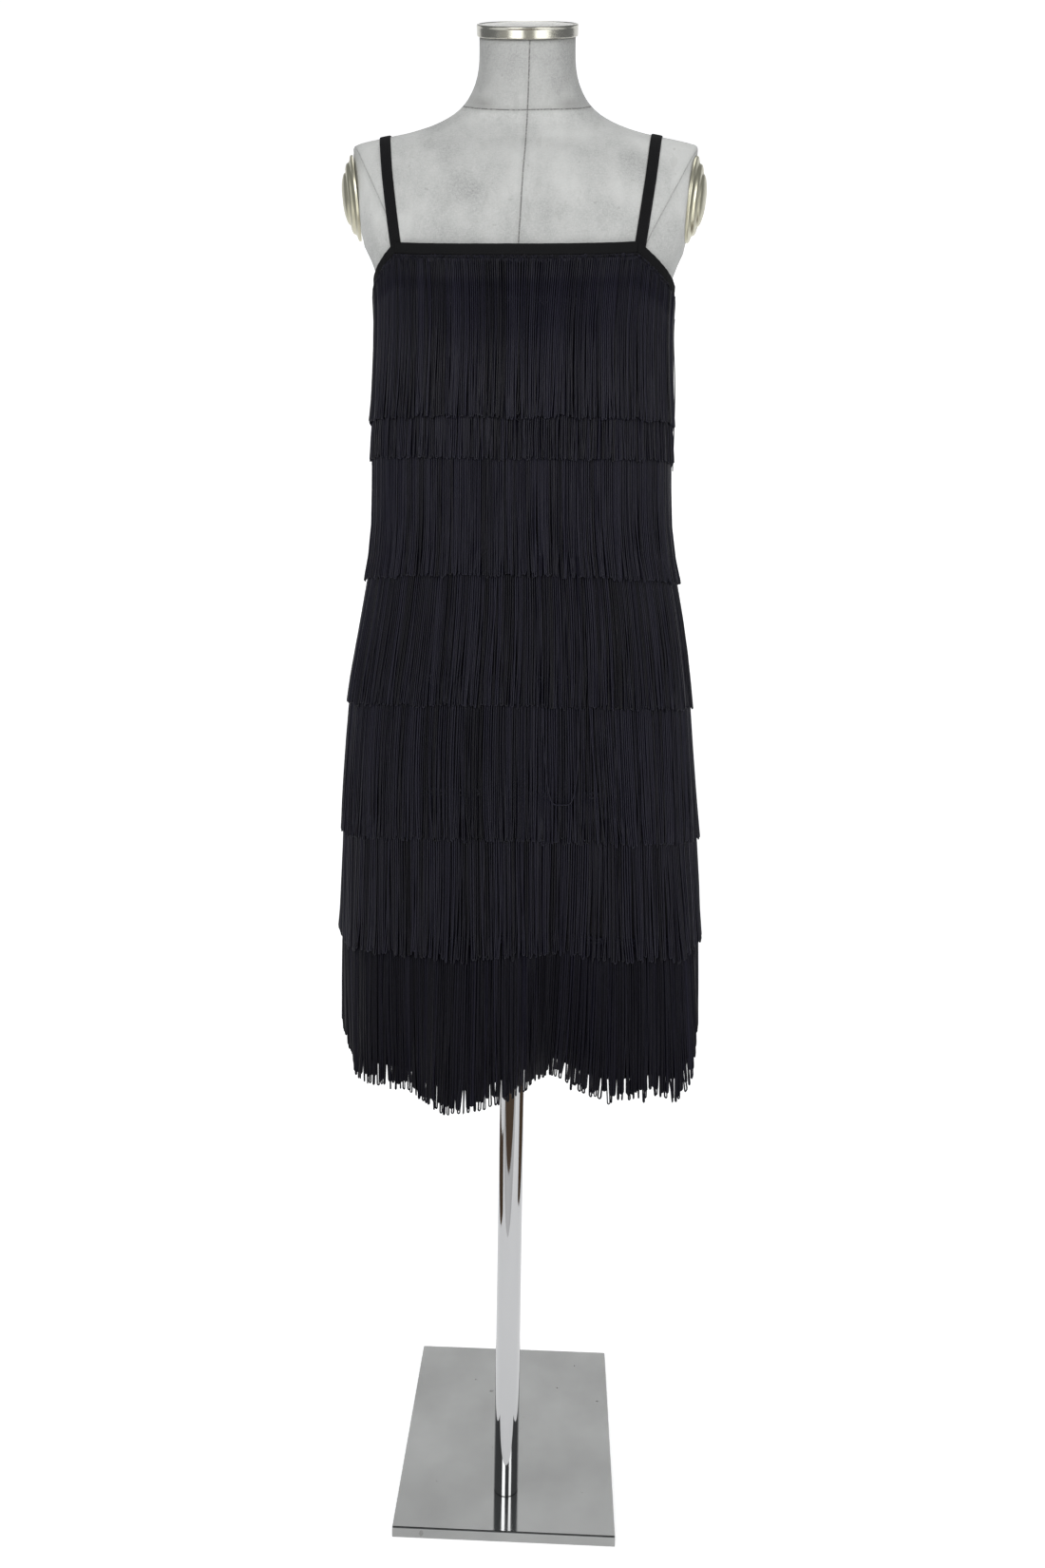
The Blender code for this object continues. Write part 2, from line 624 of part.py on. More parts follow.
def build_strap(name, side, form_tree):
    """A flat strap from the front corner of the neckline over the shoulder to the back. side is 1 for +X."""
    top_line = dress_line(below_neckline(0), 0)
    front_column, back_column = FRONT_STRAP_COLUMN, LOCKS_ROUND // 2 - 1 - BACK_STRAP_COLUMN
    if side < 0:
        front_column, back_column = -1 - front_column, -1 - back_column
    front_end, back_end = (mirrored(top_line[column], side) for column in (front_column, back_column))
    foot_x = front_end.x + STRAP_FOOT_OUT[side]
    shoulder_x = SHOULDER_STRAP_X[side]
    shots = []
    for share in [0.0, *STRAP_RIDGE_SHARES]:
        x = foot_x + (shoulder_x - foot_x) * share * STRAP_LEAN_SHARE
        z = front_end.z + 2 * SEAM_GAP + (SHOULDER_CENTRE_HEIGHT - front_end.z) * share
        shots.append((x, Vector((0, -1, 0)), z))
    for degrees in STRAP_TURN_DEGREES:
        turn = math.radians(degrees)
        end_x = foot_x if degrees < 90 else back_end.x
        x = shoulder_x + (end_x - shoulder_x) * (1 - STRAP_LEAN_SHARE) * abs(degrees - 90) / 90
        shots.append((x, Vector((0, -math.cos(turn), math.sin(turn))), SHOULDER_CENTRE_HEIGHT))
    for share in [*reversed(STRAP_RIDGE_SHARES), 0.0]:
        x = back_end.x + (shoulder_x - back_end.x) * share * STRAP_LEAN_SHARE
        z = back_end.z + 2 * SEAM_GAP + (SHOULDER_CENTRE_HEIGHT - back_end.z) * share
        shots.append((x, Vector((0, 1, 0)), z))
    touched = []
    for x, direction, z in shots:
        centre = Vector((x, SHOULDER_CENTRE_Y, z))
        row = []
        for across in (-0.5, 0, 0.5):
            far = centre + direction * RAY_START + Vector((across * STRAP_WIDTH, 0, 0))
            row.append(form_tree.ray_cast(far, -direction)[0])
        touched.append(row)
    inside, outside = [], []
    for k, row in enumerate(touched):
        along = touched[min(k + 1, len(touched) - 1)][1] - touched[max(k - 1, 0)][1]
        outward = (row[2] - row[0]).cross(along).normalized()
        inside.append([mirrored(p + outward * STRAP_LIFT, side) for p in row])
        outside.append([mirrored(p + outward * (STRAP_LIFT + STRAP_THICKNESS), side) for p in row])
    wall_solid(name, "cloth", inside, outside)


def mirrored(point, side):
    return Vector((point.x * side, point.y, point.z))


def main():
    clear_scene()
    build_base()
    build_pole()
    form = build_form()
    build_neck_cap()
    for name, side in (("arm_plate_right", 1), ("arm_plate_left", -1)):
        build_arm_plate(name, side)
    build_body_panels()
    build_bindings()
    for order, (name, braid_top, rows) in enumerate(FRINGE_TIERS):
        build_fringe(name, braid_top, rows, order)
    form_tree = BVHTree.FromPolygons(
        [v.co.copy() for v in form.data.vertices], [tuple(p.vertices) for p in form.data.polygons]
    )
    for name, side in (("strap_right", 1), ("strap_left", -1)):
        build_strap(name, side, form_tree)


main()
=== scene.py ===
"""Looks of the fringed flapper dress on its dress form: cloth, thread, metal, floor, light and camera."""

import math
from functools import partialmethod

import bmesh
import bpy
import numpy as np
from mathutils import Matrix, Vector
from mathutils.bvhtree import BVHTree


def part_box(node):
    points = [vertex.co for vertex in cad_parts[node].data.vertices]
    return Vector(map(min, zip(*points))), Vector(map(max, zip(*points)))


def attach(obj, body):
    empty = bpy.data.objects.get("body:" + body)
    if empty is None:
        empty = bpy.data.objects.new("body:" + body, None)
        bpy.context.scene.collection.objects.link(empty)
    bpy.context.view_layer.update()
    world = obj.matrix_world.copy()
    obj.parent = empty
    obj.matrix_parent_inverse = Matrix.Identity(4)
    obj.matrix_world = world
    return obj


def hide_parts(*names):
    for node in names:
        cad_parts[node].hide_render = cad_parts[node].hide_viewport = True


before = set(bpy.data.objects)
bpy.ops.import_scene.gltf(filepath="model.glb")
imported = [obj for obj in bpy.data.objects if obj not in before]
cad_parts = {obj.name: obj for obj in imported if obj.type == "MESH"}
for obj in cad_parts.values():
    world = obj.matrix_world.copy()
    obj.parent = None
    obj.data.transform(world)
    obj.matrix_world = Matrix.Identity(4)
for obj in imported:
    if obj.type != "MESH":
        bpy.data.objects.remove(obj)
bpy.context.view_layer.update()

MM = 0.001
rng = np.random.default_rng(20)

# Dress form
FORM_COLUMNS = 168
CAP_RADIUS = 58 * MM
CAP_THICKNESS = 13 * MM
CAP_TILT = math.radians(28.7)
CAP_GAP = 0.3 * MM
ARM_FACE_TIP_HEIGHT = 1550 * MM
ARM_FACE_TIP_X = {1: 196 * MM, -1: 201.5 * MM}
ARM_PLATE_DOME = 17 * MM
ARM_FACE_LOWEST = 1390 * MM
ARM_FACE_SLOPE = math.radians(7.1)
ARM_FACE_TURN = math.radians(9)
ARM_FACE_ROUNDING = 3 * MM
ARM_PLATE_HEIGHT = 1492 * MM
ARM_PLATE_Y = 4 * MM
ARM_PLATE_RADIUS = 48.5 * MM
ARM_PLATE_DEPTH_SHARE = 0.84
SOCKET_RADIUS = 14.6 * MM
SOCKET_TOP = 900
# Heights of the skin's rings in mm: first, last, how many
SKIN_STRETCHES = [(808, 830, 4), (842, 1500, 40), (1508, 1548, 10), (1551, 1610, 24), (1616, 1671, 8)]
# A radius in mm for the middle of a disc, then the rings of the form's underside and of its neck's top,
# as shares of their rims
DISC_MIDDLE = 0.001
UNDERSIDE_SHARES = (0.35, 0.7, 0.96)
NECK_TOP_SHARES = (0.9, 0.5, 0.001)
PLATE_TURN_STEPS = 112
CAP_TURN_STEPS = 128
POLE_TURN_STEPS = 96
POLE_WALL = 2 * MM
POLE_EDGE = 0.4 * MM
SAME_PLACE = 0.005 * MM
SHARP_EDGE = math.radians(38)

# Seams of the form's cover
NECK_SEAM_HEIGHT = 1572 * MM
NECK_SEAM_FRONT_Y = -50 * MM
NECK_SEAM_RISE = 0.51
CENTRE_SEAM_X_AT_CHEST = -4 * MM
CENTRE_SEAM_LEAN = 0.036
CHEST_HEIGHT = 1410 * MM
SHOULDER_SEAM_X = 142 * MM
SHOULDER_SEAM_HEIGHT = 1437 * MM
SHOULDER_SEAM_LEAN = 0.49
SEAM_WANDER = 0.0024

# Dress
CLOTH_WALL = 1.5 * MM
HEM_HEIGHT = 534
FRINGE_END_HEIGHT = 510
NECK_CENTRE_HEIGHT = 1412
NECK_CORNER_HEIGHT = 1421
UNDERARM_HEIGHT = 1386
# Powers that turn a circle into a flat band's section: across the band, and through its thickness
BAND_FLATNESS = 0.35
BAND_FULLNESS = 0.6
# The dress sits a little turned on the form. Angles of its corners from the front centre towards +X
FRONT_CENTRE_ANGLE = math.radians(-4.25)
FRONT_CORNERS = {1: math.radians(41.38), -1: math.radians(-49.88)}
BACK_CORNERS = {1: math.radians(130.31), -1: math.radians(-138.72)}
# Cells of the grids that the panels, bands and straps are made from: along, then across
PANEL_CELLS = (110, 150)
BINDING_CELLS = (150, 20)
STRAP_CELLS = (120, 18)
DRESS_TURN_SHARE = -0.0105
PANEL_START_SHARE = 0.0004
PANEL_WIDTH_SHARE = 0.4992
GIRTH_HEIGHT = 900.0
BINDING_HEIGHT = 13
BINDING_HALF_THICK = 0.75
BINDING_OUT = 1.1
BINDING_EDGE_RISE = 0.6
BINDING_RIPPLE = 0.25
BINDING_GAP_ANGLE = 0.0012
BINDING_NECK_GAP = 0.2
STRAP_WIDTH = 12.5 * MM
STRAP_THICKNESS = 1.7 * MM
STRAP_LIFT = 0.5 * MM
STRAP_LEAN_SHARE = 0.58
STRAP_FOOT_OUT = {1: 3 * MM, -1: 0}
SHOULDER_STRAP_X = {1: 150.5 * MM, -1: 163.5 * MM}
SHOULDER_CENTRE = (8 * MM, 1508 * MM)
STRAP_FOOT_BELOW = 4 * MM
STRAP_SHOTS_UP = 14
STRAP_TOP_SHARE = 0.95
STRAP_TURN_DEGREES = range(4, 178, 5)
STRAP_SMOOTHINGS = 6
RAY_START = 400 * MM

# Fringe
BRAID_HEIGHT = 8
LOOPS_ROUND = 214
KNOTS_IN_A_ROW = 330
LOOPS_IN_A_LOCK = 5
THREAD_RADIUS = 0.92 * MM
LOOP_HALF_WIDTH = 1.25 * MM
DRESS_GIRTH = 1.08
# One loop: shares of the way down a leg, then the end's lift and its place across
LEG_SHARES = [0, 0.2, 0.42, 0.64, 0.84, 1.0]
LOOP_END_LIFTS = [1.5, 0.5, 0, 0.5, 1.5]
LOOP_END_SIDES = [-0.72, 0, 0.72]
# How far the locks of threads draw together and sway: of the last trim, then of the others
LOCK_PULLS = {True: 0.05, False: 0.13}
LOCK_SWAYS = {True: 0.5, False: 0.8}
# How far out of its trim a thread lies, in mm, in the inner and in the outer layer
LAYER_OUTS = (0.05, 0.95)
LAST_TRIM_RISE = 1.5
# Braids: ropes, turns round the dress, points a turn and how lumpy, of the shown braid and of the hidden ones
BRAIDS = {True: (3, 190, 6, 0.3), False: (2, 120, 5, 0.2)}
BRAID_OUT = 1.5
KNOT_ROWS = 2
KNOT_ROW_SPACING = 3.6
KNOT_ROW_BELOW = 1.8
KNOT_OUT = 3.0
KNOT_POINTS = 9
INNER_HEM_STOUTNESS = 1.9
THREAD_SIDES = 4
# A loose loop of the fourth trim and a stray thread of the first: heights in mm, angles in degrees
LOOSE_LOOP_TOP, LOOSE_LOOP_LOW = 1080, 822
LOOSE_LOOP_ANGLE, LOOSE_LOOP_SPREAD, LOOSE_LOOP_OUT = 5.5, 12, 9.5
STRAY_THREAD_TOP, STRAY_THREAD_LENGTH = 1350, 172
STRAY_THREAD_ANGLE, STRAY_THREAD_OUT = 84, 6.5
SINGLE_THREAD_SHARE = 0.7
SINGLE_THREAD_SIDES = 5
SINGLE_THREAD_TONE = np.array([0.9])

# Rings of the form. height, half width, reach to the front, reach to the back (mm), squareness (2 is an
# ellipse), shift along Y (mm), forward tilt in degrees
FORM_RINGS = [
    (808, 152, 90, 100, 2.3, 0, 0),
    (822, 161, 97, 108, 2.3, 0, 0),
    (870, 171, 103, 118, 2.3, 0, 0),
    (920, 165, 102, 111, 2.3, 0, 0),
    (970, 149, 97, 95, 2.3, 0, 0),
    (1020, 131, 89, 82, 2.25, 0, 0),
    (1060, 123, 85, 77, 2.2, 0, 0),
    (1105, 127, 88, 79, 2.2, 0, 0),
    (1150, 138, 97, 85, 2.25, 0, 0),
    (1200, 149, 109, 91, 2.3, 0, 0),
    (1250, 156, 119, 96, 2.3, 0, 0),
    (1290, 159, 118, 99, 2.3, 0, 0),
    (1330, 161, 109, 100, 2.35, 0, 0),
    (1370, 164, 98, 101, 2.4, 0, 0),
    (1405, 171, 89, 100, 2.45, 0, 0),
    (1440, 187, 81, 98, 2.6, 0, 0),
    (1470, 195, 73, 95, 2.7, 0, 1),
    (1500, 199, 64, 89, 2.7, 0, 2),
    (1526, 201, 56, 82, 2.6, 2, 4),
    (1542, 200, 50, 75, 2.4, 4, 6),
    (1552, 198, 46, 70, 2.2, 5, 8),
    (1559, 176, 45, 66, 2.05, 6, 10),
    (1568, 140, 46, 63, 1.9, 8, 13),
    (1577, 113, 47, 60, 1.85, 9, 16),
    (1587, 92, 49, 58, 1.9, 9, 19),
    (1597, 78, 51, 57, 1.95, 8, 22),
    (1607, 69, 52, 56, 2.0, 6, 24),
    (1619, 62, 53, 55.5, 2.0, 3, 26),
    (1632, 57.5, 53.5, 55, 2.0, 0, 27.5),
    (1647, 55.2, 54, 54.6, 2.0, -5, 28.7),
    (1671, 54.7, 54.7, 54.7, 2.0, -14, 28.7),
]

# Rings of the dress, inside of the cloth. height, half width, front, back (mm), squareness,
# shift along X (mm)
DRESS_RINGS = [
    (1424, 171, 90, 104, 2.6, 0),
    (1390, 169, 98, 104.5, 2.5, 0),
    (1340, 164.5, 112, 104, 2.4, 0),
    (1295, 163.5, 122, 103, 2.35, 0),
    (1250, 163.5, 125, 101.5, 2.35, 0),
    (1200, 165.5, 124.5, 100, 2.3, 0),
    (1150, 165.5, 122.5, 98.5, 2.3, 0.5),
    (1100, 166, 120, 98, 2.3, 1.5),
    (1050, 172, 118, 100, 2.3, 3),
    (1000, 180, 117.5, 107, 2.3, 3.5),
    (950, 186.5, 118.5, 117, 2.3, 2.5),
    (900, 190.5, 120, 124, 2.3, 2),
    (850, 193, 121, 127, 2.3, 2.5),
    (800, 195.5, 121.5, 128, 2.25, 3.5),
    (700, 198, 122, 128, 2.2, 5.5),
    (600, 198, 122.5, 127, 2.2, 6.5),
    (500, 195, 122.5, 126, 2.2, 7),
]

# Soft folds of the skirt. angle from the front centre towards +X, half spread (degrees),
# reach at the fringe's end in mm
SKIRT_FOLDS = [
    (11, 11, -66),
    (-14, 10, 17),
    (38, 11, 8),
    (60, 11, 18),
    (-34, 10, -8),
    (-72, 10, -9),
    (112, 12, 10),
    (138, 13, -34),
    (163, 12, 14),
    (-168, 13, -40),
    (-143, 12, 15),
    (-112, 12, -12),
]
FOLD_START_HEIGHT = 800
FOLD_GROWTH = 1.57

# How far a level line round the dress hangs lower at the sides than at the front. height, drop (mm)
SIDE_DROPS = [(500, -4), (640, 16), (790, 15), (921, 9), (1057, 6), (1180, -8), (1350, 0)]

# Where the hem hangs lower (or, below zero, is lifted). angle, half spread (degrees), drop in mm at the hem.
# The drop grows evenly from HEM_DROP_START down to the fringe's end.
HEM_DROPS = [
    (-20, 17, 10),
    (24, 8, 4),
    (54, 7, 12),
    (72, 10, -48),
    (92, 12, -34),
    (-60, 12, 9),
    (-92, 17, -32),
]
HEM_DROP_START = 700

# Fringe trims. node, height of the braid's top (none: it follows the neckline), then (height, out of the
# cloth's inside) down the threads, how ragged the ends are, and how much shorter the inner layer is, in mm
FRINGE_TIERS = [
    ("fringe_1", None, [(1380, 3.6), (1354, 4.1), (1305, 5.5), (1266, 6.5), (1221, 7.4)], 1.8, 2),
    ("fringe_2", 1352, [(1340, 2.8), (1305, 2.9), (1266, 3.5), (1231, 4.2), (1178, 5.2)], 1.8, 2),
    ("fringe_3", 1227.5, [(1216, 2.8), (1160, 3.2), (1100, 4.5), (1057, 6.5)], 2.2, 2),
    ("fringe_4", 1094, [(1083, 2.8), (1026, 3.2), (961, 4.2), (921, 5.5)], 2.2, 2),
    ("fringe_5", 955, [(944, 2.8), (898, 3.2), (842, 4.2), (781, 5.5)], 2.4, 3),
    ("fringe_6", 836, [(825, 2.8), (760, 3.4), (690, 5.0), (660, 6.4)], 2.4, 3),
    ("fringe_7", 684, [(673, 2.8), (624, 3.2), (566, 3.8), (510, 4.4)], 2.6, 7),
]

# Camera, measured on the photograph
CAMERA_DISTANCE = 1.311
CAMERA_HEIGHT = 1.0645
CAMERA_AZIMUTH = math.radians(2)
CAMERA_ROLL = math.radians(0.875)
CAMERA_LENS = 26.2
CAMERA_SENSOR = 36
CAMERA_SHIFT = (0.0017, -0.1364)

# Studio, in metres. Cards lie one above the other: the lowest one's height and their spacing in mm
FLOOR_HALF_WIDTH = 6
FLOOR_SHIFT = -2.2
FLOOR_BELOW = -0.4 * MM
COVE_STEPS, COVE_RADIUS, COVE_Y = 10, 0.8, 3.8
WALL_TOP = 5.6
PAPER_GLOW = 0.55
WORLD_STRENGTH = 0.4
CARD_HEIGHT, CARD_SPACING = 1, 0.2


# Shapes: curves through tables


def curve_table(rows):
    """The columns of a table of rings at every millimetre of height, on smooth curves through its rows."""
    rows = np.array(sorted(rows), dtype=float)
    heights = np.arange(rows[0, 0], rows[-1, 0] + 0.5)
    low = np.clip(np.searchsorted(rows[:, 0], heights, side="right") - 1, 0, len(rows) - 2)
    span = rows[low + 1, 0] - rows[low, 0]
    u = ((heights - rows[low, 0]) / span)[:, None]
    before = np.clip(np.arange(len(rows)) - 1, 0, None)
    after = np.clip(np.arange(len(rows)) + 1, None, len(rows) - 1)
    slopes = (rows[after] - rows[before]) / (rows[after, :1] - rows[before, :1])
    leave = slopes[low] * span[:, None]
    arrive = slopes[low + 1] * span[:, None]
    step = rows[low + 1] - rows[low]
    squared = (3 * step - 2 * leave - arrive) * u**2
    cubed = (leave + arrive - 2 * step) * u**3
    return heights, rows[low] + leave * u + squared + cubed


FORM_TABLE = curve_table(FORM_RINGS)
DRESS_TABLE = curve_table(DRESS_RINGS)


def at_height(table, height, column):
    return np.interp(height, table[0], table[1][:, column])


def power_curve(angle, half_width, front, back, squareness):
    """Points of a ring in plan (mm). The angle runs from the front centre (-Y) towards +X."""
    s, c = np.sin(angle), np.cos(angle)
    reach = np.where(c > 0, front, back)
    x = half_width * np.sign(s) * np.abs(s) ** (2 / squareness)
    y = -reach * np.sign(c) * np.abs(c) ** (2 / squareness)
    return x, y, reach


def bumps(rows, angle):
    """The sum at an angle of smooth bumps. A row is an angle, a half spread (both degrees) and a size."""
    total = 0.0
    for centre, spread, size in rows:
        away = (np.degrees(angle) - centre + 180) % 360 - 180
        total = total + size * np.exp(-((away / spread) ** 2))
    return total


def fold_reach(angle, height):
    free = np.clip((FOLD_START_HEIGHT - height) / (FOLD_START_HEIGHT - FRINGE_END_HEIGHT), 0, None)
    return bumps(SKIRT_FOLDS, angle) * free**FOLD_GROWTH


def dress_point(angle, height, out):
    """Points on the dress, in metres: angle in radians, height and out from the cloth's inside in mm."""
    half_width, front, back, squareness, shift = (at_height(DRESS_TABLE, height, k) for k in range(1, 6))
    x, y, reach = power_curve(angle, half_width, front, back, squareness)
    nx, ny = x / half_width**2, y / reach**2
    size = np.hypot(nx, ny)
    push = fold_reach(angle, height) + out
    return np.stack([x + shift + nx / size * push, y + ny / size * push, height + 0 * x], axis=-1) * MM


def even_angles(shares):
    """Angles at shares of the way round the dress, measured along the cloth from the front centre."""
    steps = np.linspace(0, 2 * math.pi, 2881)
    points = dress_point(steps, np.full(steps.shape, GIRTH_HEIGHT), 0)
    run = np.concatenate([[0], np.cumsum(np.linalg.norm(np.diff(points, axis=0), axis=1))])
    return np.interp((np.asarray(shares) % 1) * run[-1], run, steps) + 2 * math.pi * np.floor(shares)


def neckline_height(angle):
    corner = FRONT_CORNERS[1] - FRONT_CENTRE_ANGLE
    away = np.abs((angle - FRONT_CENTRE_ANGLE + math.pi) % (2 * math.pi) - math.pi)
    front = NECK_CENTRE_HEIGHT + (NECK_CORNER_HEIGHT - NECK_CENTRE_HEIGHT) * (away / corner) ** 2
    share = np.clip((away - corner) / (math.pi / 2 - corner), 0, 1)
    side = UNDERARM_HEIGHT + (NECK_CORNER_HEIGHT - UNDERARM_HEIGHT) * (1 - share) ** 1.6
    return np.where(away <= corner, front, side)


def level_height(height, angle):
    """The height of a level line at an angle, with its drops at the sides and along the hem."""
    drops = np.array(SIDE_DROPS, dtype=float)
    hem_share = np.clip((HEM_DROP_START - height) / (HEM_DROP_START - FRINGE_END_HEIGHT), 0, None)
    side_drop = np.interp(height, drops[:, 0], drops[:, 1]) * np.sin(angle) ** 2
    return height - side_drop - bumps(HEM_DROPS, angle) * hem_share


# Shapes: meshes


def add_object(name, data):
    made = bpy.data.objects.new(name, data)
    bpy.context.scene.collection.objects.link(made)
    return made


def finish_object(name, mesh, finish, node, body="figure"):
    """An object from a mesh, with its material, the CAD node it stands for and its body."""
    made = add_object(name, mesh)
    mesh.materials.append(finish)
    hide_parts(node)
    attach(made, body)
    return made


def smooth_mesh(name, bm):
    bmesh.ops.recalc_face_normals(bm, faces=bm.faces)
    mesh = bpy.data.meshes.new(name)
    bm.to_mesh(mesh)
    bm.free()
    mesh.shade_smooth()
    return mesh


def sheet_mesh(name, cells, place, join=(False, False), caps=False):
    """A mesh from a flat grid whose points are moved by place(u, v), with u and v from 0 to 1.

    join closes it in u or v, caps fills what stays open, and its UV map holds u and v.
    """
    bm = bmesh.new()
    bmesh.ops.create_grid(bm, x_segments=cells[0], y_segments=cells[1], size=0.5)
    shares = np.array([vert.co[:2] for vert in bm.verts]) + 0.5
    chart = bm.loops.layers.uv.new("UVMap")
    for face in bm.faces:
        for loop in face.loops:
            loop[chart].uv = shares[loop.vert.index]
    points = place(shares[:, 0], shares[:, 1])
    for vert, point in zip(bm.verts, points):
        vert.co = point
    if any(join):
        bmesh.ops.remove_doubles(bm, verts=bm.verts, dist=SAME_PLACE)
    if caps:
        bmesh.ops.holes_fill(bm, edges=bm.edges, sides=0)
    return smooth_mesh(name, bm)


def turned_mesh(name, profile, steps):
    """A mesh turned about its own Z axis from (radius, height) points."""
    bm = bmesh.new()
    line = [bm.verts.new((radius, 0, height)) for radius, height in profile]
    edges = [bm.edges.new(pair) for pair in zip(line, line[1:])]
    bmesh.ops.spin(bm, geom=line + edges, axis=(0, 0, 1), cent=(0, 0, 0),
                   angle=2 * math.pi, steps=steps, use_merge=True)
    bmesh.ops.remove_doubles(bm, verts=bm.verts, dist=SAME_PLACE)
    mesh = smooth_mesh(name, bm)
    mesh.set_sharp_from_angle(angle=SHARP_EDGE)
    return mesh


def thread_mesh(name, bundles):
    """One mesh of many thin threads.

    Each bundle is (paths, radii, sides, tones): paths (n, k, 3), radii (n, k).
    """
    points, faces, tones, start = [], [], [], 0
    for paths, radii, sides, tone in bundles:
        count, steps = paths.shape[:2]
        along = np.gradient(paths, axis=1)
        along /= np.linalg.norm(along, axis=2, keepdims=True)
        side = np.cross(along, np.array([0.32, 0.95, 0.05]))
        side /= np.linalg.norm(side, axis=2, keepdims=True)
        other = np.cross(along, side)
        turn = 2 * math.pi * (np.arange(sides) / sides)[None, :] + rng.uniform(0, 6.28, (count, 1))
        to_side = side[:, :, None] * np.cos(turn)[:, None, :, None]
        to_other = other[:, :, None] * np.sin(turn)[:, None, :, None]
        ring = to_side + to_other
        tube = paths[:, :, None] + ring * radii[:, :, None, None]
        points.append(tube.reshape(-1, 3))
        index = start + np.arange(count * steps * sides).reshape(count, steps, sides)
        ahead = np.roll(index, -1, axis=2)
        wall = np.stack([index[:, :-1], ahead[:, :-1], ahead[:, 1:], index[:, 1:]], axis=-1)
        faces.extend(wall.reshape(-1, 4).tolist())
        faces.extend(index[:, 0, ::-1].tolist())
        faces.extend(index[:, -1].tolist())
        tones.append(np.repeat(tone, steps * sides))
        start += count * steps * sides
    mesh = bpy.data.meshes.new(name)
    mesh.from_pydata(np.concatenate(points).tolist(), [], faces)
    mesh.attributes.new("tone", "FLOAT", "POINT").data.foreach_set("value", np.concatenate(tones))
    mesh.shade_smooth()
    return mesh


# Materials


class Value:
    """A number on a node's socket. Sums on it add Math nodes."""

    def __init__(self, finish, socket):
        self.finish = finish
        self.socket = socket

    def maths(self, operation, other=None, swapped=False):
        pair = (other, self) if swapped else (self, other)
        given = {k: value for k, value in enumerate(pair) if value is not None}
        return self.finish.node("ShaderNodeMath", {"operation": operation}, given)

    __add__ = __radd__ = partialmethod(maths, "ADD")
    __sub__ = partialmethod(maths, "SUBTRACT")
    __rsub__ = partialmethod(maths, "SUBTRACT", swapped=True)
    __mul__ = __rmul__ = partialmethod(maths, "MULTIPLY")
    __truediv__ = partialmethod(maths, "DIVIDE")
    __lt__ = partialmethod(maths, "LESS_THAN")
    __gt__ = partialmethod(maths, "GREATER_THAN")
    __abs__ = partialmethod(maths, "ABSOLUTE")
    sine = partialmethod(maths, "SINE")
    top = partialmethod(maths, "MAXIMUM")


class Finish:
    """A material with one Principled BSDF."""

    def __init__(self, name, **constants):
        self.material = bpy.data.materials.new(name)
        self.material.use_nodes = True
        self.tree = self.material.node_tree
        self.shader = self.tree.nodes["Principled BSDF"]
        for words, value in constants.items():
            self.shader.inputs[words.replace("_", " ").title().replace("Ior", "IOR")].default_value = value

    def node(self, kind, settings=None, inputs=None, output=0):
        made = self.tree.nodes.new(kind)
        for key, value in (settings or {}).items():
            setattr(made, key, value)
        for key, value in (inputs or {}).items():
            self.feed(made.inputs[key], value)
        return Value(self, made.outputs[output])

    def feed(self, socket, value):
        if isinstance(value, Value):
            self.tree.links.new(value.socket, socket)
        else:
            socket.default_value = value

    def set(self, name, value):
        self.feed(self.shader.inputs[name], value)

    def place(self):
        return self.node("ShaderNodeTexCoord", output="Object")

    def axes(self, vector=None):
        """The three numbers of a vector, by default the place on the object."""
        split = self.node("ShaderNodeSeparateXYZ", inputs={0: vector or self.place()})
        outputs = split.socket.node.outputs
        return [Value(self, outputs[k]) for k in range(3)]

    def noise(self, scale, detail, stretch=None):
        where = self.place()
        if stretch:
            where = self.node("ShaderNodeMapping", inputs={"Vector": where, "Scale": stretch})
        return self.node("ShaderNodeTexNoise", inputs={"Vector": where, "Scale": scale, "Detail": detail})

    def mix(self, share, first, second):
        """A colour between two colours."""
        inputs = {"Factor": share, 6: first, 7: second}
        return self.node("ShaderNodeMix", {"data_type": "RGBA"}, inputs, output=2)

    def bump(self, height, distance, strength=1.0):
        self.set("Normal", self.node("ShaderNodeBump", inputs={
            "Height": height, "Distance": distance, "Strength": strength,
        }))


def groove(away, width):
    """1 in the middle of a line and 0 beyond its half width."""
    return (1 - abs(away) / width).top(0.0)


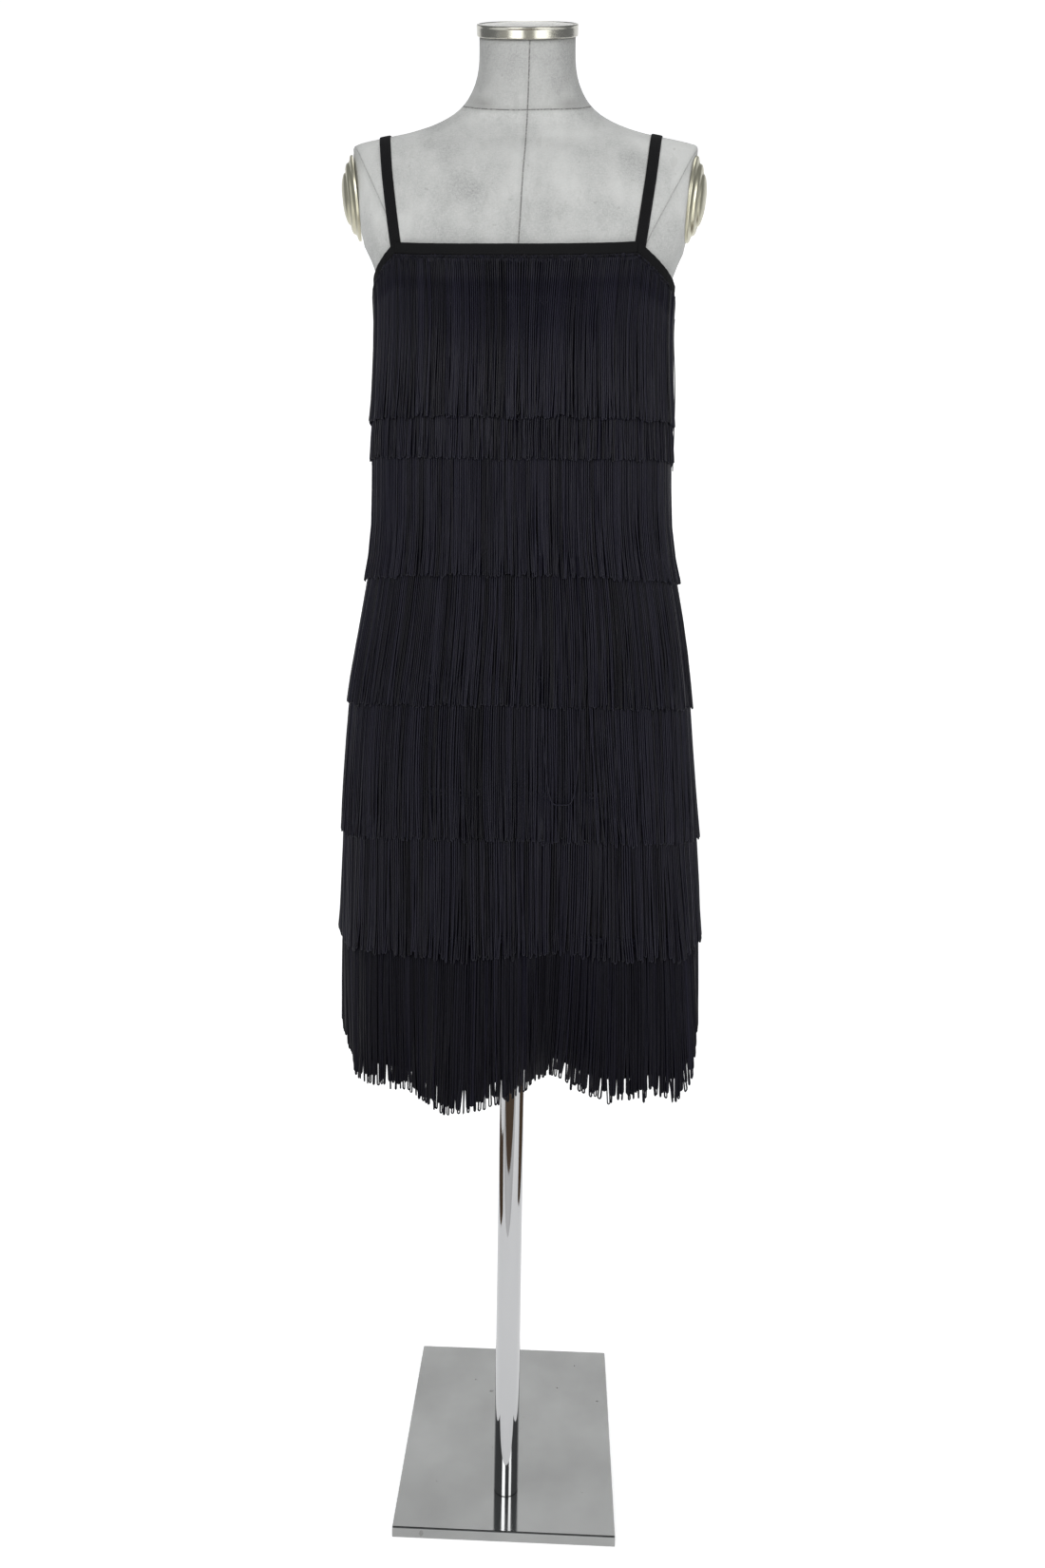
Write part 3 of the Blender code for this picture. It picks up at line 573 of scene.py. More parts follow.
def form_cover_finish():
    """Light grey jersey, sewn together along the neck, front and shoulders, a little soiled by use, with
    painted shade on the neck.
    """
    cover = Finish(
        "form_cover", roughness=0.85, sheen_weight=0.12, sheen_roughness=0.5, specular_ior_level=0.25,
    )
    x, y, z = cover.axes()
    wander = cover.noise(14.0, 2.0) * SEAM_WANDER - SEAM_WANDER / 2
    centre = x - ((z - CHEST_HEIGHT) * CENTRE_SEAM_LEAN + CENTRE_SEAM_X_AT_CHEST) + wander
    neck = z - ((y - NECK_SEAM_FRONT_Y) * NECK_SEAM_RISE + NECK_SEAM_HEIGHT) + wander
    shoulder = abs(x) - ((z - SHOULDER_SEAM_HEIGHT) * SHOULDER_SEAM_LEAN + SHOULDER_SEAM_X) + wander
    below_neck = neck < 0.0
    thin_shoulder = groove(shoulder, 0.0008) * below_neck * 0.5
    seams = groove(centre, 0.0009).top(groove(neck, 0.0010)).top(thin_shoulder)
    wide_shoulder = groove(shoulder, 0.005) * below_neck
    welts = groove(centre, 0.006).top(groove(neck, 0.005)).top(wide_shoulder)
    # Painted shade: two darker patches on the neck's base, left and right of the middle, just above its seam.
    painted_neck_base_shade = groove(neck - 0.006, 0.010) * groove(abs(x) - 0.048, 0.022)
    stitches = cover.noise(430.0, 1.0) > 0.45
    threads = cover.noise(900.0, 2.0, stretch=(1, 1, 0.35)) + cover.noise(900.0, 2.0, stretch=(0.35, 0.35, 1))
    small_clouds = cover.noise(34.0, 4.0, stretch=(1, 1, 0.55))
    clouds = cover.noise(8.0, 4.0) * 0.55 + small_clouds * 0.45
    specks = cover.noise(130.0, 2.0) > 0.72
    scuffs = cover.noise(70.0, 3.0, stretch=(1, 0.5, 0.35)) > 0.66
    base = cover.mix((clouds - 0.36) * 3.6, (0.285, 0.29, 0.283, 1), (0.51, 0.515, 0.50, 1))
    flecked = cover.mix((threads - 0.72) * 0.9, base, (0.56, 0.56, 0.55, 1))
    soiled = cover.mix(specks * 0.25 + scuffs * 0.1, flecked, (0.18, 0.18, 0.165, 1))
    near_seam = cover.mix(welts * 0.2 + painted_neck_base_shade * 0.8, soiled, (0.25, 0.25, 0.24, 1))
    # Painted shade: the whole neck above its seam is painted darker.
    with_painted_neck_shade = cover.mix((neck > 0.0) * 0.22, near_seam, (0.27, 0.268, 0.26, 1))
    cover.set("Base Color", cover.mix(seams * (0.12 + 0.6 * stitches), with_painted_neck_shade, (0.09, 0.09, 0.085, 1)))
    cover.bump(threads * 0.16 + welts * 0.9 - seams * 1.6 + clouds * 1.2, 0.0012, 0.7)
    return cover.material


def nickel_finish(name, matt, tarnished, clean):
    """Warm brushed nickel with fine turning marks and a soft tarnish. matt adds to its roughness."""
    nickel = Finish(name, metallic=1.0)
    marks = nickel.noise(60.0, 4.0, stretch=(1, 1, 14))
    haze = nickel.noise(22.0, 3.0)
    nickel.set("Base Color", nickel.mix(haze, tarnished, clean))
    nickel.set("Roughness", marks * 0.14 + haze * 0.08 + 0.1 + matt)
    nickel.bump(marks, 0.0002, 0.25)
    return nickel.material


def chrome_finish():
    chrome = Finish("chrome", metallic=1.0)
    haze = chrome.noise(18.0, 3.0, stretch=(1, 1, 0.25))
    chrome.set("Base Color", chrome.mix(haze, (0.40, 0.402, 0.408, 1), (0.465, 0.467, 0.472, 1)))
    chrome.set("Roughness", haze * 0.06 + 0.02)
    return chrome.material


def plate_finish():
    """Polished steel with a satin haze, faint wipe marks and a few specks."""
    plate = Finish("steel_plate", metallic=1.0)
    haze = plate.noise(9.0, 4.0)
    wipes = plate.noise(40.0, 4.0, stretch=(0.2, 1, 1))
    specks = plate.noise(95.0, 1.0) > 0.79
    clean = plate.mix((haze - 0.3) * 2.5, (0.27, 0.272, 0.268, 1), (0.35, 0.353, 0.349, 1))
    plate.set("Base Color", plate.mix(specks * 0.6, clean, (0.2, 0.2, 0.19, 1)))
    plate.set("Roughness", haze * 0.05 + wipes * 0.05 + specks * 0.3 + 0.03)
    plate.bump(wipes, 0.0002, 0.12)
    return plate.material


def weave_height(finish, across, along, threads_across, threads_along):
    """The height of a plain weave over a UV map, from 0 to 1."""
    warp = (across * (threads_across * math.pi)).sine()
    weft = (along * (threads_along * math.pi)).sine()
    return warp * weft * 0.5 + 0.5


def band_finish(name, threads_along, threads_across, rows_of_stitches):
    """Matte black woven band. UV: u runs along it, v across it. rows_of_stitches are places across it."""
    band = Finish(name, roughness=0.85, specular_ior_level=0.1)
    u, v, _ = band.axes(band.node("ShaderNodeTexCoord", output="UV"))
    weave = weave_height(band, u, v, threads_along, threads_across)
    dashes = (u * (threads_along * 0.4)).sine() > -0.3
    stitches = 0.0
    for row in rows_of_stitches:
        stitches = groove(v - row, 0.03) * dashes + stitches
    wear = band.noise(60.0, 3.0)
    cloth = band.mix(wear * 0.5 + weave * 0.4, (0.0042, 0.0042, 0.0047, 1), (0.0088, 0.0088, 0.0096, 1))
    band.set("Base Color", band.mix(stitches, cloth, (0.02, 0.02, 0.022, 1)))
    band.bump(weave * 0.35 + stitches * 1.2 + wear * 0.5, 0.0005, 0.8)
    return band.material


def cloth_finish():
    """Black lining-weight knit behind the fringe."""
    cloth = Finish("black_cloth", roughness=0.85, sheen_weight=0.08, specular_ior_level=0.2)
    u, v, _ = cloth.axes(cloth.node("ShaderNodeTexCoord", output="UV"))
    weave = weave_height(cloth, u, v, 520, 880)
    tone = cloth.noise(12.0, 3.0)
    shade = tone * 0.6 + weave * 0.3
    cloth.set("Base Color", cloth.mix(shade, (0.006, 0.006, 0.007, 1), (0.014, 0.014, 0.017, 1)))
    cloth.bump(weave, 0.0003, 0.6)
    return cloth.material


def thread_finish(name, specular):
    """Black viscose thread with a faint blue cast. Each thread has its own tone."""
    thread = Finish(name, roughness=0.42, specular_ior_level=specular)
    tone = thread.node("ShaderNodeAttribute", {"attribute_name": "tone"}, output="Fac")
    drift = thread.noise(5.0, 2.0, stretch=(1, 1, 0.3))
    plies = thread.noise(520.0, 2.0)
    shade = tone * 0.55 + drift * 0.3 + (plies - 0.5) * 0.7 + 0.1
    thread.set("Base Color", thread.mix(shade, (0.0005, 0.0005, 0.0011, 1), (0.0104, 0.0097, 0.0196, 1)))
    thread.bump(plies, 0.0004, 0.5)
    return thread.material


# Dress form


def torso_place(height, angle):
    """Points of the form's skin: height along its rings in mm, angle in radians."""
    columns = (at_height(FORM_TABLE, height, k) for k in range(1, 7))
    half_width, front, back, squareness, shift, tilt = columns
    x, depth, _ = power_curve(angle, half_width, front, back, squareness)
    tilt = np.radians(tilt)
    y = (depth * np.cos(tilt) + shift) * MM
    z = (height + depth * np.sin(tilt)) * MM
    x = x * MM
    tip_x = np.where(x > 0, ARM_FACE_TIP_X[1], ARM_FACE_TIP_X[-1])
    face = tip_x - (ARM_FACE_TIP_HEIGHT - z) * math.tan(ARM_FACE_SLOPE) + y * math.tan(ARM_FACE_TURN)
    share = np.clip(0.5 + 0.5 * (face - np.abs(x)) / ARM_FACE_ROUNDING, 0, 1)
    soft = np.abs(x) * share + face * (1 - share) - ARM_FACE_ROUNDING * share * (1 - share)
    cut = np.where(z > ARM_FACE_LOWEST, soft, np.abs(x))
    return np.stack([np.sign(x) * cut, y, z], axis=-1)


def build_torso(finish):
    """The covered form, from inside its socket round its underside and up to the neck."""
    skin = np.concatenate([np.linspace(*stretch) for stretch in SKIN_STRETCHES])
    base = FORM_RINGS[0][0]
    socket = [(DISC_MIDDLE, SOCKET_TOP), (SOCKET_RADIUS / MM, SOCKET_TOP), (SOCKET_RADIUS / MM, base)]
    skin_start = len(socket) + len(UNDERSIDE_SHARES)
    top_start = skin_start + len(skin)
    rows = top_start + len(NECK_TOP_SHARES)

    def place(u, v):
        angle = 2 * math.pi * u
        row = np.rint(v * (rows - 1)).astype(int)
        points = np.zeros((len(u), 3))
        for k in range(rows):
            here = row == k
            turn = angle[here]
            if k < len(socket):
                radius, height = socket[k]
                x, y = radius * np.sin(turn), -radius * np.cos(turn)
                points[here] = np.stack([x, y, 0 * turn + height], -1) * MM
            elif k < skin_start:
                share = UNDERSIDE_SHARES[k - len(socket)]
                points[here] = torso_place(np.full(turn.shape, float(base)), turn) * (share, share, 1)
            elif k < top_start:
                points[here] = torso_place(np.full(turn.shape, skin[k - skin_start]), turn)
            else:
                share = NECK_TOP_SHARES[k - top_start]
                top = FORM_RINGS[-1]
                rim = torso_place(np.full(turn.shape, float(top[0])), turn)
                centre = np.array([0, top[5], top[0]]) * MM
                points[here] = centre + (rim - centre) * share
        return points

    mesh = sheet_mesh("torso", (FORM_COLUMNS, rows - 1), place, join=(True, False))
    return finish_object("torso_cover", mesh, finish, "form_torso")


def build_neck_cap(finish):
    """The metal cap on the neck: a straight wall under a small bead, and a slightly domed top."""
    r, t = CAP_RADIUS, CAP_THICKNESS
    # The rows close together at both ends of the wall keep its shading straight
    wall = [
        (r - 0.3 * MM, 1.1 * MM), (r - 0.3 * MM, 1.5 * MM),
        (r - 0.3 * MM, t - 3.6 * MM), (r - 0.3 * MM, t - 3.2 * MM),
    ]
    bead = [(r, t - 2.6 * MM), (r, t - 0.9 * MM), (r - 0.7 * MM, t - 0.1 * MM), (r - 1.8 * MM, t)]
    dome = [
        (r - 3.0 * MM, t - 0.7 * MM), (r - 4.6 * MM, t - 0.8 * MM),
        (r * 0.6, t + 0.4 * MM), (r * 0.3, t + 0.8 * MM), (0, t + 0.9 * MM),
    ]
    profile = [(0, 0), (r - 2.2 * MM, 0), (r - 0.8 * MM, 0.3 * MM), *wall, *bead, *dome]
    mesh = turned_mesh("neck_cap_metal", profile, CAP_TURN_STEPS)
    top = FORM_RINGS[-1]
    axis = Vector((0, -math.sin(CAP_TILT), math.cos(CAP_TILT)))
    place = Matrix.Translation(Vector((0, top[5] * MM, top[0] * MM)) + axis * CAP_GAP)
    mesh.transform(place @ Matrix.Rotation(CAP_TILT, 4, "X"))
    finish_object("neck_cap_metal", mesh, finish, "neck_cap")


def build_arm_plate(name, side, finish):
    """The domed plate with turned rings on one end of the shoulders. side is 1 for +X."""
    r = ARM_PLATE_RADIUS
    # Inwards from the rim in mm, and share of the dome's height
    steps = [
        (0, 0.115), (0.5, 0.17), (1.4, 0.205), (5.0, 0.26), (7.2, 0.3), (8.0, 0.355), (8.6, 0.44),
        (9.8, 0.515), (12.0, 0.565), (15.0, 0.605), (17.0, 0.615), (17.9, 0.585), (18.7, 0.615),
        (19.6, 0.705), (21.5, 0.785), (25.0, 0.855), (30.0, 0.93), (36.0, 0.98), (42.0, 0.998),
    ]
    rings = [(r - inward * MM, share * ARM_PLATE_DOME) for inward, share in steps]
    profile = [(0, 0), (r, 0), *rings, (0, ARM_PLATE_DOME)]
    mesh = turned_mesh(name, profile, PLATE_TURN_STEPS)
    normal = Vector((
        math.cos(ARM_FACE_TURN) * math.cos(ARM_FACE_SLOPE),
        -math.sin(ARM_FACE_TURN) * math.cos(ARM_FACE_SLOPE),
        -math.sin(ARM_FACE_SLOPE),
    ))
    drop = ARM_FACE_TIP_HEIGHT - ARM_PLATE_HEIGHT
    x = ARM_FACE_TIP_X[side] - drop * math.tan(ARM_FACE_SLOPE) + ARM_PLATE_Y * math.tan(ARM_FACE_TURN)
    up = (Vector((0, 0, 1)) - normal * normal.z).normalized()
    turn = Matrix((up.cross(normal), up, normal)).transposed()
    mesh.transform((turn @ Matrix.Diagonal((ARM_PLATE_DEPTH_SHARE, 1, 1))).to_4x4())
    mesh.transform(Matrix.Translation(Vector((x, ARM_PLATE_Y, ARM_PLATE_HEIGHT)) + normal * CAP_GAP))
    if side < 0:
        mesh.transform(Matrix.Scale(-1, 4, (1, 0, 0)))
        mesh.flip_normals()
    node = "arm_plate_right" if side > 0 else "arm_plate_left"
    finish_object(name, mesh, finish, node)


def build_stand(chrome, plate):
    low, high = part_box("pole")
    radius = (high[0] - low[0]) / 2
    inside, edge = radius - POLE_WALL, radius - POLE_EDGE
    profile = [
        (inside, low[2]), (edge, low[2]), (radius, low[2] + POLE_EDGE), (radius, high[2] - POLE_EDGE),
        (edge, high[2]), (inside, high[2]), (inside, low[2]),
    ]
    mesh = turned_mesh("pole_tube", profile, POLE_TURN_STEPS)
    finish_object("pole_tube", mesh, chrome, "pole", body="stand")
    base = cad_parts["base_plate"]
    base.data.materials.clear()
    base.data.materials.append(plate)


# Dress


def build_cloth(finish):
    """The front and back of the sheath behind the fringe."""
    panels = (
        ("cloth_front", "body_front", DRESS_TURN_SHARE - 0.25),
        ("cloth_back", "body_back", DRESS_TURN_SHARE + 0.25),
    )
    for name, node, start in panels:

        def place(u, v):
            angle = even_angles(start + PANEL_START_SHARE + PANEL_WIDTH_SHARE * u)
            top = neckline_height(angle)
            height = level_height(HEM_HEIGHT, angle) * (1 - v) + top * v
            return dress_point(angle, height, CLOTH_WALL / MM / 2)

        mesh = sheet_mesh(name, PANEL_CELLS, place)
        cloth = finish_object(name, mesh, finish, node)
        wall = cloth.modifiers.new("wall", "SOLIDIFY")
        wall.thickness = CLOTH_WALL
        wall.offset = 0


def band_section(v, half_height, half_thick):
    """A flat band's section with round edges: (up, out) in mm from its middle, for v from 0 to 1 round it."""
    turn = 2 * math.pi * v
    up = half_height * np.sign(np.cos(turn)) * np.abs(np.cos(turn)) ** BAND_FLATNESS
    out = half_thick * np.sign(np.sin(turn)) * np.abs(np.sin(turn)) ** BAND_FULLNESS
    return up, out


def build_bindings(finish):
    """The bands folded over the neckline, a little apart at the corners. name, node, start and end angle."""
    gap = BINDING_GAP_ANGLE
    pieces = (
        ("band_front", "binding_front", FRONT_CORNERS[-1], FRONT_CORNERS[1]),
        ("band_arm_right", "binding_arm_right", FRONT_CORNERS[1], BACK_CORNERS[1]),
        ("band_back", "binding_back", BACK_CORNERS[1], BACK_CORNERS[-1] + 2 * math.pi),
        ("band_arm_left", "binding_arm_left", BACK_CORNERS[-1], FRONT_CORNERS[-1]),
    )
    for name, node, start, end in pieces:

        def place(u, v):
            angle = start + gap + (end - start - 2 * gap) * u
            up, out = band_section(v, BINDING_HEIGHT / 2, BINDING_HALF_THICK)
            middle = neckline_height(angle) - BINDING_HEIGHT / 2 + BINDING_EDGE_RISE
            ripple = BINDING_RIPPLE * np.sin(angle * 61 + 1.3) * np.sin(angle * 23)
            return dress_point(angle, middle + up, CLOTH_WALL / MM + BINDING_OUT + out + ripple)

        mesh = sheet_mesh(name, BINDING_CELLS, place, join=(False, True), caps=True)
        finish_object(name, mesh, finish, node)


def strap_path(side, skin):
    """Rows of points across a strap and their outward directions, from the front corner to the back one.

    Rays towards the form's middle find the skin that the strap lies on.
    """
    corners = np.array([FRONT_CORNERS[side], BACK_CORNERS[side]])
    ends = dress_point(corners, neckline_height(corners), 0)
    front, back = (Vector(point * (side, 1, 1)) for point in ends)
    centre_y, centre_z = SHOULDER_CENTRE
    shoulder_x = SHOULDER_STRAP_X[side]
    foot_x = front.x + STRAP_FOOT_OUT[side]

    def leg(start_x, corner_z, direction):
        """Shots from a strap's foot at the neckline up to the shoulder."""
        for share in np.linspace(0, STRAP_TOP_SHARE, STRAP_SHOTS_UP):
            x = start_x + (shoulder_x - start_x) * share * STRAP_LEAN_SHARE
            z = corner_z - STRAP_FOOT_BELOW + (centre_z - corner_z + STRAP_FOOT_BELOW) * share
            yield x, Vector(direction), z

    shots = list(leg(foot_x, front.z, (0, -1, 0)))
    for degrees in STRAP_TURN_DEGREES:
        turn = math.radians(degrees)
        end_x = foot_x if degrees < 90 else back.x
        x = shoulder_x + (end_x - shoulder_x) * (1 - STRAP_LEAN_SHARE) * abs(degrees - 90) / 90
        shots.append((x, Vector((0, -math.cos(turn), math.sin(turn))), centre_z))
    shots.extend(reversed(list(leg(back.x, back.z, (0, 1, 0)))))
    rows = []
    for x, direction, z in shots:
        centre = Vector((x, centre_y, z))
        row = []
        for across in (-0.5, 0, 0.5):
            far = centre + direction * RAY_START + Vector((across * STRAP_WIDTH, 0, 0))
            hit = skin.ray_cast(far, -direction)[0]
            row.append(hit if hit else far)
        rows.append([tuple(p) for p in row])
    rows = np.array(rows)
    for _ in range(STRAP_SMOOTHINGS):
        rows[1:-1] = rows[1:-1] * 0.5 + (rows[:-2] + rows[2:]) * 0.25
    along = np.gradient(rows[:, 1], axis=0)
    across = rows[:, 2] - rows[:, 0]
    out = np.cross(across, along)
    out /= np.linalg.norm(out, axis=1, keepdims=True)
    return rows * (side, 1, 1), out * (side, 1, 1)


def build_strap(name, side, skin, finish):
    """A flat strap that follows its path over the form. side is 1 for +X."""
    rows, out = strap_path(side, skin)
    run = np.linspace(0, 1, len(rows))

    def between(table, u):
        return np.stack([np.interp(u, run, table[:, c]) for c in range(3)], -1)

    def place(u, v):
        across, lift = band_section(v, 1, 0.5)
        left, middle, right = (between(rows[:, k], u) for k in range(3))
        outward = between(out, u)
        flat = left + (right - left) * (across[:, None] * 0.5 + 0.5)
        centre = middle - (left + right) / 2
        rest = flat + centre * (1 - across[:, None] ** 2)
        return rest + outward * (STRAP_LIFT + STRAP_THICKNESS * (0.5 + lift))[:, None]

    mesh = sheet_mesh(name, STRAP_CELLS, place, join=(False, True), caps=True)
    node = "strap_right" if side > 0 else "strap_left"
    finish_object(name, mesh, finish, node)


def trim_top(order, angle):
    """The height of the top of a trim's braid."""
    braid_top = FRINGE_TIERS[order][1]
    if braid_top is None:
        return neckline_height(angle) - BINDING_HEIGHT - BINDING_NECK_GAP
    return level_height(braid_top, angle)


def trim_reach(order, height):
    """How far out of the cloth's inside a trim hangs, in mm, at a height of its front."""
    rows = np.array(sorted(FRINGE_TIERS[order][2]), dtype=float)
    return np.interp(height, rows[:, 0], rows[:, 1])


def hanging_loops(order, layer, source):
    """The looped threads of one layer of a trim, as a bundle for thread_mesh. Layer 1 is the outer one."""
    _, _, rows, ragged, short_inside = FRINGE_TIERS[order]
    end_height = rows[-1][0]
    # Down the first leg, round the loop's end and up the second leg
    leg = np.array(LEG_SHARES)
    down = np.concatenate([leg, [1, 1, 1], leg[::-1]])[None, :]
    straight = [0] * (len(leg) - 1)
    lift = np.array(straight + LOOP_END_LIFTS + straight, dtype=float)[None, :]
    side = np.array([-1] * len(leg) + LOOP_END_SIDES + [1] * len(leg), dtype=float)[None, :]

    count = LOOPS_ROUND
    share = (np.arange(count) + 0.5 * layer + source.uniform(-0.12, 0.12, count)) / count
    lock = np.cumsum(source.uniform(0, 1, count) < 1 / LOOPS_IN_A_LOCK)
    locks = lock.max() + 1
    centres = np.bincount(lock, share, locks) / np.maximum(np.bincount(lock, minlength=locks), 1)
    last = end_height <= FRINGE_END_HEIGHT
    pull = source.uniform(0, LOCK_PULLS[last], locks)[lock]
    sway = source.normal(0, LOCK_SWAYS[last], locks)[lock] * MM + source.normal(0, 0.45, count) * MM
    middle = share[:, None] + ((centres[lock] - share) * pull)[:, None] * down**1.5
    twist = source.normal(0, 0.55, count)[:, None] * math.pi * down**1.5
    curl = source.normal(0, 0.9, count)[:, None] * MM * np.clip((down - 0.8) / 0.2, 0, 1) ** 2
    bow = source.normal(0, 0.3, count)[:, None] * MM * np.sin(math.pi * down)
    aside = side * LOOP_HALF_WIDTH * np.cos(twist) + sway[:, None] * down**2 + curl + bow
    angle = even_angles(middle + aside / DRESS_GIRTH)

    # Waves of three lengths make the groups of threads that hang lower
    slow, quick = np.sin(share * 97 + order), np.sin(share * 211 + 2 * order)
    groups = slow + quick + 0.8 * np.sin(share * 391 + layer)
    change = ragged * (source.normal(0, 0.3, count) + 0.35 - 0.6 * np.tanh(2.2 * (groups - 0.7)))
    change = change + ragged * 1.4 * (source.uniform(0, 1, count) < 0.05) * source.uniform(-1, 0.6, count)
    shorter = short_inside * (1 - layer) * (1 + 0.3 * np.sin(share * 151))
    change = change + shorter + LAST_TRIM_RISE * last
    start = trim_top(order, angle) - BRAID_HEIGHT * 0.55
    finish = level_height(end_height, angle) + change[:, None]
    height = start + (finish - start) * down + lift
    front_height = end_height + (height - level_height(end_height, angle))
    out = trim_reach(order, front_height) + LAYER_OUTS[layer] + 0.55 * side * np.sin(twist)
    out = out + source.uniform(-0.15, 0.4, count)[:, None]
    out = out + source.exponential(0.35, count)[:, None] * down**4
    paths = dress_point(angle, height, out)
    # The last trim's inner threads are stouter, so that no light shows between them
    stout = INNER_HEM_STOUTNESS if last and not layer else 1
    radii = THREAD_RADIUS * stout * source.uniform(0.86, 1.1, count)[:, None] * np.ones_like(down)
    tones = source.normal(0.47, 0.34, count) + source.normal(0, 0.16, locks)[lock] + 0.12 * layer
    # The last trim's threads are painted darker: painted shade for the light that falls off towards the hem.
    tones = np.clip(tones - (0.5 if last else 0.05 * (order == 0) - 0.04), 0, 1)
    return paths, radii, THREAD_SIDES, tones


def braid_ropes(order, source):
    """Twisted ropes round the dress that make a trim's braid, finer and darker on the trim that shows it."""
    shown = order == 0
    ropes, turns, points_a_turn, lumps = BRAIDS[shown]
    share = np.linspace(0, 1, turns * points_a_turn + 1)
    angle = even_angles(share[:-1])
    angle = np.append(angle, angle[0] + 2 * math.pi)
    spacing = BRAID_HEIGHT / ropes
    out = CLOTH_WALL / MM + BRAID_OUT
    paths, tones = [], []
    for rope in range(ropes):
        middle = trim_top(order, angle) - spacing * (rope + 0.5)
        for strand in range(2):
            twist = 2 * math.pi * turns * share * (1 if rope % 2 else -1) + math.pi * strand
            swell = 1 + lumps * np.sin(angle * 137 + rope + strand) * np.sin(angle * 83 + rope)
            up = 0.42 * spacing * np.sin(twist) * swell
            over = out + 0.75 * np.cos(twist) * swell
            paths.append(dress_point(angle, middle + up, over))
            tones.append(source.uniform(0.3, 0.8) - 0.3 * shown)
    paths = np.array(paths)
    return paths, np.full(paths.shape[:2], 0.34 * spacing * MM), THREAD_SIDES, np.array(tones)


def braid_knots(source):
    """The small knots that cover the first trim's braid."""
    count = KNOT_ROWS * KNOTS_IN_A_ROW
    row = np.arange(count) % KNOT_ROWS
    share = (np.arange(count) // KNOT_ROWS + 0.5 * row + source.uniform(-0.3, 0.3, count)) / KNOTS_IN_A_ROW
    around = np.linspace(0, 2 * math.pi, KNOT_POINTS)[None, :]
    radius = source.uniform(0.9, 1.7, count)[:, None]
    tilt = source.uniform(-1.3, 1.3, count)[:, None]
    across = radius * np.cos(around) * np.cos(tilt) * MM
    up = radius * np.sin(around) + (source.uniform(-0.7, 0.7, count) - KNOT_ROW_SPACING * row)[:, None]
    angle = even_angles(share[:, None] + across / DRESS_GIRTH)
    height = trim_top(0, angle) - KNOT_ROW_BELOW + up
    out = CLOTH_WALL / MM + KNOT_OUT + radius * np.cos(around) * np.sin(tilt) * 0.7
    radii = source.uniform(0.4, 0.75, count)[:, None] * MM * np.ones_like(around)
    return dress_point(angle, height, out), radii, THREAD_SIDES, source.uniform(-0.3, 1.3, count)


def single_thread(path):
    radii = np.full((1, len(path)), THREAD_RADIUS * SINGLE_THREAD_SHARE)
    return path[None], radii, SINGLE_THREAD_SIDES, SINGLE_THREAD_TONE


def loose_loop():
    """One long thread of the fourth trim that hangs in a U."""
    t = np.linspace(0, 1, 40)
    angle = np.radians(LOOSE_LOOP_ANGLE + LOOSE_LOOP_SPREAD * t)
    height = LOOSE_LOOP_TOP - (LOOSE_LOOP_TOP - LOOSE_LOOP_LOW) * (1 - np.abs(2 * t - 1) ** 5) ** 0.6
    return single_thread(dress_point(angle, height, LOOSE_LOOP_OUT + 0 * t))


def stray_thread():
    """One thread that hangs free at the right side of the first trim."""
    t = np.linspace(0, 1, 24)
    angle = np.radians(STRAY_THREAD_ANGLE + 2 * np.sin(4 * t))
    height = STRAY_THREAD_TOP - STRAY_THREAD_LENGTH * t
    return single_thread(dress_point(angle, height, STRAY_THREAD_OUT + 3.5 * np.sin(math.pi * t) ** 2))


def build_fringe(order, finish):
    """One trim: two layers of looped threads hanging from a braid."""
    node = FRINGE_TIERS[order][0]
    source = np.random.default_rng(40 + order)
    bundles = [hanging_loops(order, layer, source) for layer in (0, 1)]
    bundles.append(braid_ropes(order, source))
    if node == "fringe_4":
        bundles.append(loose_loop())
    if node == "fringe_1":
        bundles.append(stray_thread())
        bundles.append(braid_knots(source))
    name = node + "_threads"
    finish_object(name, thread_mesh(name, bundles), finish, node)


# Studio


def build_floor():
    """White paper that runs from the floor up a cove and the wall behind."""
    bm = bmesh.new()
    bmesh.ops.create_grid(bm, x_segments=1, y_segments=1, size=FLOOR_HALF_WIDTH)
    bmesh.ops.translate(bm, vec=(0, FLOOR_SHIFT, FLOOR_BELOW), verts=bm.verts)
    back = [edge for edge in bm.edges if all(vert.co.y > 0 for vert in edge.verts)]
    for k in range(1, COVE_STEPS + 1):
        turn = math.pi / 2 * k / COVE_STEPS
        new = bmesh.ops.extrude_edge_only(bm, edges=back)["geom"]
        verts = [item for item in new if isinstance(item, bmesh.types.BMVert)]
        for vert in verts:
            vert.co.y = COVE_Y + COVE_RADIUS * math.sin(turn)
            vert.co.z = COVE_RADIUS * (1 - math.cos(turn))
        back = [item for item in new if isinstance(item, bmesh.types.BMEdge)]
    new = bmesh.ops.extrude_edge_only(bm, edges=back)["geom"]
    for item in new:
        if isinstance(item, bmesh.types.BMVert):
            item.co.z = WALL_TOP
    floor = smooth_mesh("studio_floor", bm)
    made = add_object("studio_floor", floor)
    paper = Finish("studio_paper", base_color=(0.93, 0.93, 0.93, 1), roughness=0.9, specular_ior_level=0.1)
    paper.set("Emission Color", (1, 1, 1, 1))
    paper.set("Emission Strength", PAPER_GLOW)
    floor.materials.append(paper.material)


